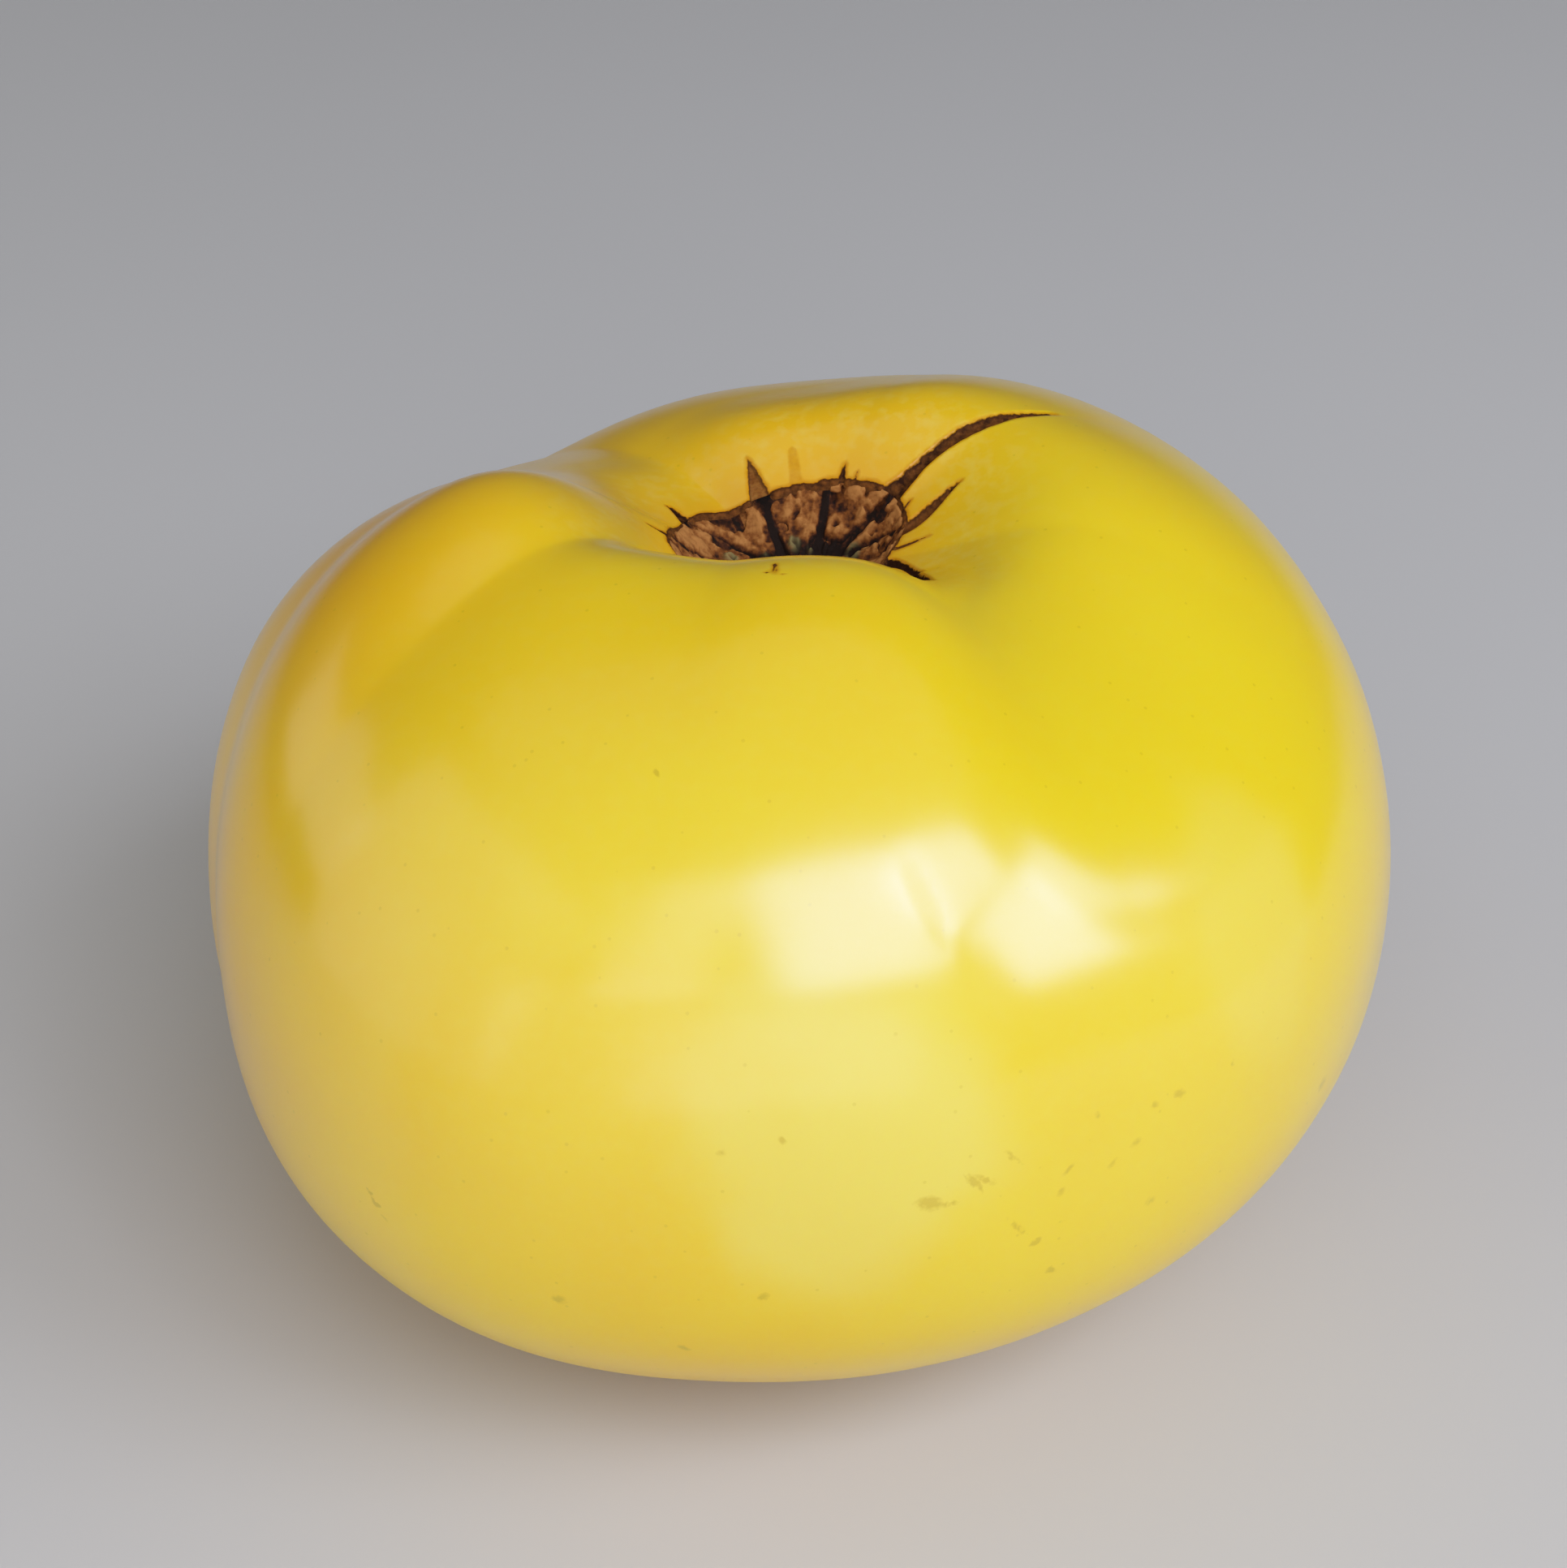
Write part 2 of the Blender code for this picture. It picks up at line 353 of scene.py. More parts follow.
    def stem_distance(self, polar: np.ndarray, places: np.ndarray) -> np.ndarray:
        """The level distance of each place from the stem's line."""
        return np.hypot(places[..., 0], places[..., 1] - self.offset_y(polar))

    def crater_edge(self, azimuth: np.ndarray) -> np.ndarray:
        """The crater's radius, with the waves round its edge.

        Args:
            azimuth: Azimuths.

        Returns:
            Radii in metres.
        """
        waves = np.zeros_like(azimuth)
        for wave in self.edge_waves:
            waves += wave.size * np.cos(wave.count * np.radians(azimuth - wave.peak))
        return self.crater_radius * (1.0 + waves)

    def polar_at(self, distance: np.ndarray, azimuth: np.ndarray) -> np.ndarray:
        """Finds the polar angles that lie at given distances from the stem's line.

        Args:
            distance: Distances in metres, one row for each azimuth.
            azimuth: Azimuths, one for each row.

        Returns:
            Polar angles in the shape of distance.
        """
        tries = np.linspace(0.0, self.search_reach, self.search_steps)
        polar, around = np.meshgrid(tries, azimuth)
        reached = self.stem_distance(polar, self.points(polar, around))
        return np.array([np.interp(wanted, known, tries) for wanted, known in zip(distance, reached)])

    def settle(self, height: np.ndarray) -> np.ndarray:
        """Presses the lowest part of the body flat where it rests.

        Args:
            height: Heights from the middle of the body.

        Returns:
            Heights above the level that the fruit rests on.
        """
        above = height + self.base_depth - self.rest_trim
        eased = (above + self.rest_ease) ** 2 / (4.0 * self.rest_ease)
        return np.where(above > self.rest_ease, above, np.where(above < -self.rest_ease, 0.0, eased))

    def in_row_frame(self, places: np.ndarray) -> np.ndarray:
        """Moves body places to the part's own frame, on the level that it rests on.

        Args:
            places: Places round the middle of the body, with x, y and z along the last axis.

        Returns:
            The places in the part's frame.
        """
        low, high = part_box(NODE)
        rings = np.linspace(0.0, 180.0, self.box_rings)
        polar, around = np.meshgrid(rings, np.arange(0.0, 360.0, self.box_step))
        body = self.points(polar, around).reshape(-1, 3)
        middle = 0.5 * (body.max(axis=0) + body.min(axis=0))
        centre = 0.5 * (np.array(low) + np.array(high))
        moved = places.copy()
        moved[..., :2] += centre[:2] - middle[:2]
        moved[..., 2] = self.settle(places[..., 2])
        return moved


@dataclass(frozen=True)
class Cracks:
    """The healed cracks that run out of the crater, as distances inside or outside their outlines."""

    search_width: float = 3.0 * MM
    plain_tone: float = 0.4
    stain_limit: float = 0.15 * MM
    groove_edge: tuple[float, float] = (-0.15 * MM, 0.3 * MM)
    wedge_taper: float = 0.85
    stain_taper: float = 0.5
    spindle_lean: float = 0.65
    club_lean: float = 1.7
    stroke_point: int = 6
    stroke_waves: float = 11.0
    cracks: tuple[Crack, ...] = (
        Crack(39.5, 32.6, 8.6 * MM, 25.2 * MM, 0.64 * MM, 0.5 * MM, 0.25, CrackShape.STROKE),
        Crack(40.0, 37.5, 8.4 * MM, 13.5 * MM, 1.15 * MM, 0.4 * MM, 0.2, CrackShape.WEDGE),
        Crack(13.5, 21.3, 7.6 * MM, 14.0 * MM, 0.62 * MM, 0.5 * MM, 0.35, CrackShape.SPINDLE),
        Crack(338.0, 317.0, 7.6 * MM, 14.1 * MM, 0.68 * MM, 0.7 * MM, 0.0, CrackShape.CLUB),
        Crack(344.0, 332.0, 7.2 * MM, 11.0 * MM, 0.75 * MM, 0.5 * MM, 0.05, CrackShape.WEDGE),
        Crack(112.0, 110.5, 7.4 * MM, 11.6 * MM, 0.95 * MM, 0.3 * MM, 0.55, CrackShape.WEDGE),
        Crack(90.5, 92.0, 7.6 * MM, 11.2 * MM, 0.3 * MM, 0.0 * MM, 1.0, CrackShape.STAIN),
        Crack(65.5, 67.8, 8.0 * MM, 10.3 * MM, 0.5 * MM, 0.2 * MM, 0.2, CrackShape.WEDGE),
        Crack(59.0, 60.4, 8.6 * MM, 9.8 * MM, 0.14 * MM, 0.1 * MM, 0.4, CrackShape.WEDGE),
        Crack(156.0, 150.5, 8.7 * MM, 12.0 * MM, 0.75 * MM, 0.3 * MM, 0.1, CrackShape.WEDGE),
        Crack(185.0, 184.4, 9.4 * MM, 11.8 * MM, 0.4 * MM, 0.15 * MM, 0.25, CrackShape.WEDGE),
        Crack(358.5, 1.0, 7.6 * MM, 10.4 * MM, 0.22 * MM, 0.1 * MM, 0.5, CrackShape.WEDGE),
        Crack(27.0, 29.2, 9.0 * MM, 10.4 * MM, 0.16 * MM, 0.1 * MM, 0.6, CrackShape.WEDGE),
        Crack(264.4, 264.8, 17.5 * MM, 19.1 * MM, 0.14 * MM, 0.08 * MM, 0.4, CrackShape.STROKE),
        Crack(262.9, 266.7, 19.0 * MM, 19.15 * MM, 0.22 * MM, 0.08 * MM, 0.4, CrackShape.STROKE),
        Crack(225.0, 223.0, 7.2 * MM, 10.4 * MM, 0.4 * MM, 0.2 * MM, 0.4, CrackShape.WEDGE),
        Crack(283.0, 284.0, 6.4 * MM, 9.4 * MM, 0.35 * MM, 0.2 * MM, 0.4, CrackShape.WEDGE),
    )

    def inside(self, crack: Crack, distance: np.ndarray, azimuth: np.ndarray) -> np.ndarray:
        """How far places lie inside one crack's outline.

        Args:
            crack: The crack.
            distance: Distances from the stem's line, in metres.
            azimuth: Azimuths.

        Returns:
            Metres inside the outline, negative outside it.
        """
        along = (distance - crack.start) / (crack.end - crack.start)
        swing = angle_between(crack.end_azimuth, crack.start_azimuth)
        line = crack.start_azimuth + swing * smooth_step(along, 0.0, 1.0)
        lateral = np.abs(np.radians(angle_between(azimuth, line))) * distance
        part = np.clip(along, 0.0, 1.0)
        waved = 0.85 + 0.15 * np.cos(self.stroke_waves * part)
        profiles = {
            CrackShape.WEDGE: (1.0 - part) ** self.wedge_taper,
            CrackShape.STAIN: (1.0 - part) ** self.stain_taper,
            CrackShape.SPINDLE: 0.9 * np.sin(np.pi * part**self.spindle_lean) + 0.2 * (1.0 - part),
            CrackShape.CLUB: np.sin(np.pi * part**self.club_lean),
            CrackShape.STROKE: (1.0 - part**self.stroke_point) * waved,
        }
        beyond = np.maximum(along - 1.0, 0.0) + np.maximum(-along, 0.0)
        reach = crack.half_width * profiles[crack.shape] - lateral - beyond * (crack.end - crack.start)
        return np.minimum(reach, -self.stain_limit) if crack.shape is CrackShape.STAIN else reach

    def measure(self, distance: np.ndarray, azimuth: np.ndarray) -> tuple[np.ndarray, np.ndarray, np.ndarray]:
        """Measures places against all the cracks.

        Args:
            distance: Distances from the stem's line, in metres.
            azimuth: Azimuths.

        Returns:
            Metres inside the nearest crack, negative outside, the depth of the groove there, and its tone.
        """
        nearest = np.full_like(distance, -self.search_width)
        groove = np.zeros_like(distance)
        tone = np.full_like(distance, self.plain_tone)
        for crack in self.cracks:
            inside = self.inside(crack, distance, azimuth)
            tone = np.where(inside > nearest, crack.tone, tone)
            nearest = np.maximum(nearest, inside)
            groove = np.maximum(groove, crack.depth * smooth_step(inside, *self.groove_edge))
        return nearest, groove, tone


def linear(code: str) -> tuple[float, float, float, float]:
    """Turns an sRGB hex colour into linear light.

    Args:
        code: The colour, such as #EFD22A.

    Returns:
        Linear red, green, blue and an alpha of 1.
    """
    parts = [int(code[place:place + 2], 16) / 255.0 for place in (1, 3, 5)]
    red, green, blue = (p / 12.92 if p <= 0.04045 else ((p + 0.055) / 1.055) ** 2.4 for p in parts)
    return red, green, blue, 1.0


class Kind(Enum):
    """The kinds of shader node that the finishes use."""

    ATTRIBUTE = "ShaderNodeAttribute"
    BUMP = "ShaderNodeBump"
    CELLS = "ShaderNodeTexVoronoi"
    GRADIENT = "ShaderNodeTexGradient"
    MAPPING = "ShaderNodeMapping"
    MATHS = "ShaderNodeMath"
    MIX = "ShaderNodeMix"
    NOISE = "ShaderNodeTexNoise"
    PLACE = "ShaderNodeTexCoord"
    RAMP = "ShaderNodeValToRGB"
    VECTORS = "ShaderNodeVectorMath"


def set_stops(ramp: bpy.types.ColorRamp, stops: Stops) -> None:
    """Sets the stops of a colour ramp.

    Args:
        ramp: A ramp with no more stops than are wanted.
        stops: Positions with hex colours, or with numbers for grey.
    """
    while len(ramp.elements) < len(stops):
        ramp.elements.new(0.5)
    for element, (position, tone) in zip(ramp.elements, stops):
        element.position = position
        element.color = linear(tone) if isinstance(tone, str) else (tone, tone, tone, 1.0)


def set_node(tree: bpy.types.NodeTree, node: bpy.types.Node, settings: dict[Union[int, str], Any]) -> None:
    """Sets a shader node's attributes, its ramp's stops and its inputs.

    Args:
        tree: The material's node tree.
        node: The node.
        settings: Attributes by name, "stops" with a ramp's stops, and inputs by index or socket name, each
            with a socket to link, a number, a vector or a hex colour.
    """
    for name, value in settings.items():
        if name == "stops":
            set_stops(node.color_ramp, value)
        elif isinstance(name, str) and hasattr(node, name):
            setattr(node, name, value)
        elif isinstance(value, bpy.types.NodeSocket):
            tree.links.new(value, node.inputs[name])
        else:
            node.inputs[name].default_value = linear(value) if isinstance(value, str) else value


def add_node(
    tree: bpy.types.NodeTree,
    kind: Kind,
    settings: Optional[dict[Union[int, str], Any]] = None,
    output: Union[int, str] = 0,
) -> bpy.types.NodeSocket:
    """Adds a shader node with its settings and links.

    Args:
        tree: The material's node tree.
        kind: The kind of node.
        settings: What set_node takes.
        output: The index or the name of the output that is wanted.

    Returns:
        The new node's output.
    """
    node = tree.nodes.new(kind.value)
    set_node(tree, node, settings or {})
    return node.outputs[output]


def new_material(name: str) -> tuple[bpy.types.Material, bpy.types.NodeTree, bpy.types.Node]:
    """Makes a material.

    Args:
        name: The material's name.

    Returns:
        The material, its node tree and its Principled BSDF.
    """
    material = bpy.data.materials.new(name)
    material.use_nodes = True
    tree = material.node_tree
    return material, tree, tree.nodes["Principled BSDF"]


class Mark(NamedTuple):
    """A scratch or scuff: its two ends as polar angle and azimuth, its half width and its strength."""

    start: tuple[float, float]
    end: tuple[float, float]
    half_width: float
    strength: float


@dataclass(frozen=True)
class RipeSkin:
    """Ripe yellow tomato skin: a thin, waxy, slightly translucent film over juicy flesh.

    It gives the eye a satin gloss with soft edges, and a warm colour that glows a little from inside, with
    faint pale mottling, a few scuffs and tiny dark specks.
    """

    golden: str = "#F3C208"
    lemon: str = "#F5CF1A"
    fresh: str = "#F7DA1A"
    pale: str = "#F2DC62"
    # Ochre is painted shade, laid on the shoulders turned from the light, round the base and in the hollow
    # round the crater.
    ochre: str = "#E8A30A"
    cork: str = "#7E4A1C"
    cork_pale: str = "#B47C38"
    cork_dark: str = "#2A1205"
    stain: str = "#B56A10"
    scuff: str = "#BFA000"
    roughness: float = 0.3
    scab_roughness: float = 0.8
    ior: float = 1.5
    specular: float = 0.1
    coat_ior: float = 1.8
    coat_roughness: float = 0.2
    glow: float = 0.35
    glow_depth: float = 1.4 * MM
    glow_spread: tuple[float, float, float] = (1.0, 0.62, 0.12)
    blotch: float = 30.0 * MM
    blotch_span: tuple[float, float] = (0.35, 0.65)
    mottle: float = 1.1 * MM
    mottle_stops: Stops = ((0.45, 0.0), (0.7, 0.45))
    mottle_fade: Stops = ((0.5, 1.0), (1.0, 0.12))
    # Ochre painted shade in the hollow: strongest at the crater's edge and fading outwards.
    hollow_shade_stops: Stops = ((0.0, 0.8), (0.3, 0.35), (1.0, 0.0))
    grain: float = 0.5 * MM
    speck_spacing: float = 1.9 * MM
    speck: float = 0.11 * MM
    speck_strength: float = 0.3
    peel: float = 1.6 * MM
    relief: float = 0.012 * MM
    scab_relief: float = 12.0
    raggedness: float = 0.1
    stain_stops: Stops = ((0.38, 0.0), (0.5, 0.75))
    open_stops: Stops = ((0.49, 0.0), (0.515, 1.0))
    wax_stops: Stops = ((0.38, 1.0), (0.49, 0.0))
    scab_grain: float = 0.7
    scab_shift: float = 0.35
    scab_edge: Stops = ((0.5, 0.9), (0.58, 0.1))
    mark_bend: float = 0.8 * MM
    mark_wander: float = 0.6
    mark_reach: float = 4.0
    mark_grain: float = 0.4
    mark_stops: Stops = ((0.22, 0.0), (0.6, 0.6))
    marks: tuple[Mark, ...] = (
        Mark((90.3, 232.2), (94.4, 234.6), 0.16 * MM, 0.9),
        Mark((79.1, 268.4), (79.8, 268.8), 0.26 * MM, 0.5),
        Mark((86.3, 279.4), (87.0, 282.6), 0.24 * MM, 0.6),
        Mark((86.8, 281.6), (87.2, 284.0), 0.12 * MM, 0.5),
        Mark((83.6, 283.6), (87.0, 286.3), 0.14 * MM, 0.5),
        Mark((84.1, 284.2), (86.3, 287.6), 0.12 * MM, 0.45),
        Mark((82.2, 287.2), (85.3, 289.8), 0.12 * MM, 0.45),
        Mark((86.2, 293.6), (86.5, 293.9), 0.26 * MM, 0.5),
        Mark((88.3, 292.8), (88.7, 293.5), 0.22 * MM, 0.4),
        Mark((89.0, 287.4), (94.0, 291.0), 0.11 * MM, 0.4),
        Mark((93.4, 290.6), (94.0, 291.0), 0.24 * MM, 0.6),
        Mark((97.9, 292.4), (98.8, 293.5), 0.24 * MM, 0.55),
        Mark((91.9, 292.6), (92.5, 293.6), 0.2 * MM, 0.35),
        Mark((87.1, 298.0), (87.5, 298.3), 0.24 * MM, 0.4),
        Mark((85.7, 300.2), (86.6, 300.7), 0.24 * MM, 0.35),
        Mark((82.8, 302.1), (83.5, 302.9), 0.2 * MM, 0.4),
        Mark((82.6, 304.3), (83.5, 306.2), 0.17 * MM, 0.45),
        Mark((81.6, 296.2), (82.1, 296.8), 0.22 * MM, 0.35),
        Mark((93.4, 302.0), (94.1, 303.3), 0.24 * MM, 0.35),
        Mark((82.7, 311.4), (83.2, 311.7), 0.2 * MM, 0.35),
        Mark((96.1, 266.6), (96.5, 267.2), 0.24 * MM, 0.55),
        Mark((103.8, 259.3), (104.8, 260.3), 0.4 * MM, 0.4),
        Mark((80.4, 263.4), (80.8, 263.7), 0.22 * MM, 0.35),
        Mark((97.8, 248.9), (98.2, 250.2), 0.3 * MM, 0.5),
        Mark((51.0, 253.4), (51.2, 253.9), 0.26 * MM, 0.6),
        Mark((94.8, 326.1), (93.5, 327.8), 0.4 * MM, 0.35),
    )

    def marked(
        self, tree: bpy.types.NodeTree, form: FruitForm, place: bpy.types.NodeSocket
    ) -> bpy.types.NodeSocket:
        """Adds the scuffs and scratches.

        Args:
            tree: The material's node tree.
            form: The fruit's form, which the marks lie on.
            place: The object coordinates.

        Returns:
            A socket that is 0 on clean skin and rises to the middle of a mark.
        """
        noise = {"Vector": place, "Scale": 1.0 / self.mark_bend, "Detail": 2.0}
        bend = add_node(tree, Kind.NOISE, noise, "Color")
        centred = add_node(tree, Kind.VECTORS, {"operation": "SUBTRACT", 0: bend, 1: (0.5, 0.5, 0.5)})
        reach = (self.mark_wander * self.mark_bend,) * 3
        bent = add_node(tree, Kind.VECTORS, {"operation": "MULTIPLY_ADD", 0: centred, 1: reach, 2: place})
        ends = np.array([[mark.start, mark.end] for mark in self.marks])
        places = form.in_row_frame(form.points(ends[..., 0], ends[..., 1]))
        total = None
        for mark, (first, last) in zip(self.marks, places):
            run = Vector(last - first)
            half = mark.half_width
            local = add_node(tree, Kind.MAPPING, {
                "vector_type": "TEXTURE",
                "Vector": bent,
                "Location": Vector((first + last) / 2.0),
                "Rotation": run.to_track_quat("X", "Z").to_euler(),
                "Scale": (0.5 * run.length + half, half, self.mark_reach * half),
            })
            ball = add_node(tree, Kind.GRADIENT, {"gradient_type": "SPHERICAL", "Vector": local}, "Fac")
            value = add_node(tree, Kind.MATHS, {"operation": "MULTIPLY", 0: ball, 1: 2.0 * mark.strength})
            if total is not None:
                value = add_node(tree, Kind.MATHS, {"operation": "MAXIMUM", 0: total, 1: value})
            total = value
        return total

    def build(self, form: FruitForm) -> bpy.types.Material:
        """Makes the material.

        Args:
            form: The fruit's form, for the places of the marks.

        Returns:
            The skin's material.
        """
        material, tree, shader = new_material("ripe_tomato_skin")
        place = add_node(tree, Kind.PLACE, output="Object")
        grain = add_node(tree, Kind.NOISE, {"Vector": place, "Scale": 1.0 / self.grain, "Detail": 3.0})
        colour = self.blemishes(tree, place, grain, self.marked(tree, form, place))
        crack = add_node(tree, Kind.ATTRIBUTE, {"attribute_name": "crack"}, "Fac")
        centred = add_node(tree, Kind.MATHS, {"operation": "SUBTRACT", 0: grain, 1: 0.5})
        wander = {"operation": "MULTIPLY_ADD", 0: centred, 1: self.raggedness, 2: crack}
        ragged = add_node(tree, Kind.MATHS, wander)
        opened = add_node(tree, Kind.RAMP, {"Fac": ragged, "stops": self.open_stops})
        waxy = add_node(tree, Kind.RAMP, {"Fac": ragged, "stops": self.wax_stops})
        sheen = add_node(tree, Kind.ATTRIBUTE, {"attribute_name": "sheen"}, "Fac")
        set_node(tree, shader, {
            "Base Color": self.healed(tree, colour, ragged, opened, grain),
            "Roughness": add_node(tree, Kind.MIX, {0: opened, 2: self.roughness, 3: self.scab_roughness}),
            "Coat Weight": add_node(tree, Kind.MATHS, {"operation": "MULTIPLY", 0: sheen, 1: waxy}),
            "Normal": self.relief_normal(tree, place, grain, opened),
            "IOR": self.ior,
            "Specular IOR Level": self.specular,
            "Subsurface Weight": self.glow,
            "Subsurface Radius": self.glow_spread,
            "Subsurface Scale": self.glow_depth,
            "Coat Roughness": self.coat_roughness,
            "Coat IOR": self.coat_ior,
        })
        return material

    def flesh(self, tree: bpy.types.NodeTree, place: bpy.types.NodeSocket) -> bpy.types.NodeSocket:
        """Adds the clean skin's colour: broad patches of two yellows, pale mottling, pale patches with a
        painted reflection on the lower front, and ochre painted shade in the hollow round the stem, on the
        shoulders turned from the light and round the base.

        Args:
            tree: The material's node tree.
            place: The object coordinates.

        Returns:
            The colour's socket.
        """
        blotch = add_node(tree, Kind.NOISE, {"Vector": place, "Scale": 1.0 / self.blotch, "Detail": 2.0})
        yellows = tuple(zip(self.blotch_span, (self.golden, self.lemon)))
        colour = add_node(tree, Kind.RAMP, {"Fac": blotch, "stops": yellows})
        mottle = add_node(tree, Kind.NOISE, {"Vector": place, "Scale": 1.0 / self.mottle, "Detail": 2.0})
        spots = add_node(tree, Kind.RAMP, {"Fac": mottle, "stops": self.mottle_stops})
        names = ("rim", "fresh", "pale", "ripe")
        layers = [add_node(tree, Kind.ATTRIBUTE, {"attribute_name": name}, "Fac") for name in names]
        rim, fresh, pale, ripe = layers
        shown = add_node(tree, Kind.RAMP, {"Fac": rim, "stops": self.mottle_fade})
        spotted = add_node(tree, Kind.MATHS, {"operation": "MULTIPLY", 0: spots, 1: shown})
        # Ochre painted shade in the hollow, strongest at the crater's edge and fading out across the hollow.
        near = add_node(tree, Kind.RAMP, {"Fac": rim, "stops": self.hollow_shade_stops})
        # Mixed over the yellows: pale mottling, a lemon patch, pale patches with a painted reflection on the
        # lower front, and ochre painted shade on the shoulders turned from the light, round the base and in
        # the hollow.
        covers = (
            (spotted, self.pale),
            (fresh, self.fresh),
            (pale, self.pale),
            (ripe, self.ochre),
            (near, self.ochre),
        )
        for cover, tone in covers:
            blend = {"data_type": "RGBA", 0: cover, COLOUR_A: colour, COLOUR_B: tone}
            colour = add_node(tree, Kind.MIX, blend, MIXED)
        return colour

    def blemishes(
        self,
        tree: bpy.types.NodeTree,
        place: bpy.types.NodeSocket,
        grain: bpy.types.NodeSocket,
        marked: bpy.types.NodeSocket,
    ) -> bpy.types.NodeSocket:
        """Adds the tiny specks and the broken-edged marks to the clean skin's colour.

        Args:
            tree: The material's node tree.
            place: The object coordinates.
            grain: The fine noise, which breaks the marks' edges.
            marked: Where the scuffs and scratches are.

        Returns:
            The colour's socket.
        """
        cells = add_node(tree, Kind.CELLS, {"Vector": place, "Scale": 1.0 / self.speck_spacing})
        size = self.speck / self.speck_spacing
        fade = ((size, self.speck_strength), (1.5 * size, 0.0))
        specks = add_node(tree, Kind.RAMP, {"Fac": cells, "stops": fade})
        broken = add_node(tree, Kind.MATHS, {"operation": "ADD", 0: grain, 1: self.mark_grain})
        rough = add_node(tree, Kind.MATHS, {"operation": "MULTIPLY", 0: marked, 1: broken})
        marks = add_node(tree, Kind.RAMP, {"Fac": rough, "stops": self.mark_stops})
        cover = add_node(tree, Kind.MATHS, {"operation": "MAXIMUM", 0: specks, 1: marks})
        blend = {"data_type": "RGBA", 0: cover, COLOUR_A: self.flesh(tree, place), COLOUR_B: self.scuff}
        return add_node(tree, Kind.MIX, blend, MIXED)

    def healed(
        self,
        tree: bpy.types.NodeTree,
        colour: bpy.types.NodeSocket,
        ragged: bpy.types.NodeSocket,
        opened: bpy.types.NodeSocket,
        grain: bpy.types.NodeSocket,
    ) -> bpy.types.NodeSocket:
        """Adds the stain round each healed crack, and the corky scab in it, dark along its outline.

        Args:
            tree: The material's node tree.
            colour: The skin's colour.
            ragged: How far inside a crack's outline a place is, 0.5 being on it.
            opened: 1 inside a crack and 0 outside it.
            grain: The fine noise.

        Returns:
            The colour's socket.
        """
        stain = add_node(tree, Kind.RAMP, {"Fac": ragged, "stops": self.stain_stops})
        around = {"data_type": "RGBA", 0: stain, COLOUR_A: colour, COLOUR_B: self.stain}
        stained = add_node(tree, Kind.MIX, around, MIXED)
        tone = add_node(tree, Kind.ATTRIBUTE, {"attribute_name": "tone"}, "Fac")
        shifted = add_node(tree, Kind.MATHS, {"operation": "SUBTRACT", 0: tone, 1: self.scab_shift})
        grained = {"operation": "MULTIPLY_ADD", 0: grain, 1: self.scab_grain, 2: shifted}
        level = add_node(tree, Kind.MATHS, grained)
        corks = ((0.1, self.cork_dark), (0.45, self.cork), (0.85, self.cork_pale))
        cork = add_node(tree, Kind.RAMP, {"Fac": level, "stops": corks})
        edge = add_node(tree, Kind.RAMP, {"Fac": ragged, "stops": self.scab_edge})
        outlined = {"data_type": "RGBA", 0: edge, COLOUR_A: cork, COLOUR_B: self.cork_dark}
        scab = add_node(tree, Kind.MIX, outlined, MIXED)
        inside = {"data_type": "RGBA", 0: opened, COLOUR_A: stained, COLOUR_B: scab}
        return add_node(tree, Kind.MIX, inside, MIXED)

    def relief_normal(
        self,
        tree: bpy.types.NodeTree,
        place: bpy.types.NodeSocket,
        grain: bpy.types.NodeSocket,
        opened: bpy.types.NodeSocket,
    ) -> bpy.types.NodeSocket:
        """Adds the skin's faint unevenness and the scabs' rough surface.

        Args:
            tree: The material's node tree.
            place: The object coordinates.
            grain: The fine noise.
            opened: 1 inside a crack and 0 outside it.

        Returns:
            The normal's socket.
        """
        peel = add_node(tree, Kind.NOISE, {"Vector": place, "Scale": 1.0 / self.peel, "Detail": 3.0})
        scab = add_node(tree, Kind.MATHS, {"operation": "MULTIPLY", 0: grain, 1: opened})
        joined = {"operation": "MULTIPLY_ADD", 0: scab, 1: self.scab_relief, 2: peel}
        height = add_node(tree, Kind.MATHS, joined)
        return add_node(tree, Kind.BUMP, {"Height": height, "Distance": self.relief, "Strength": 1.0})


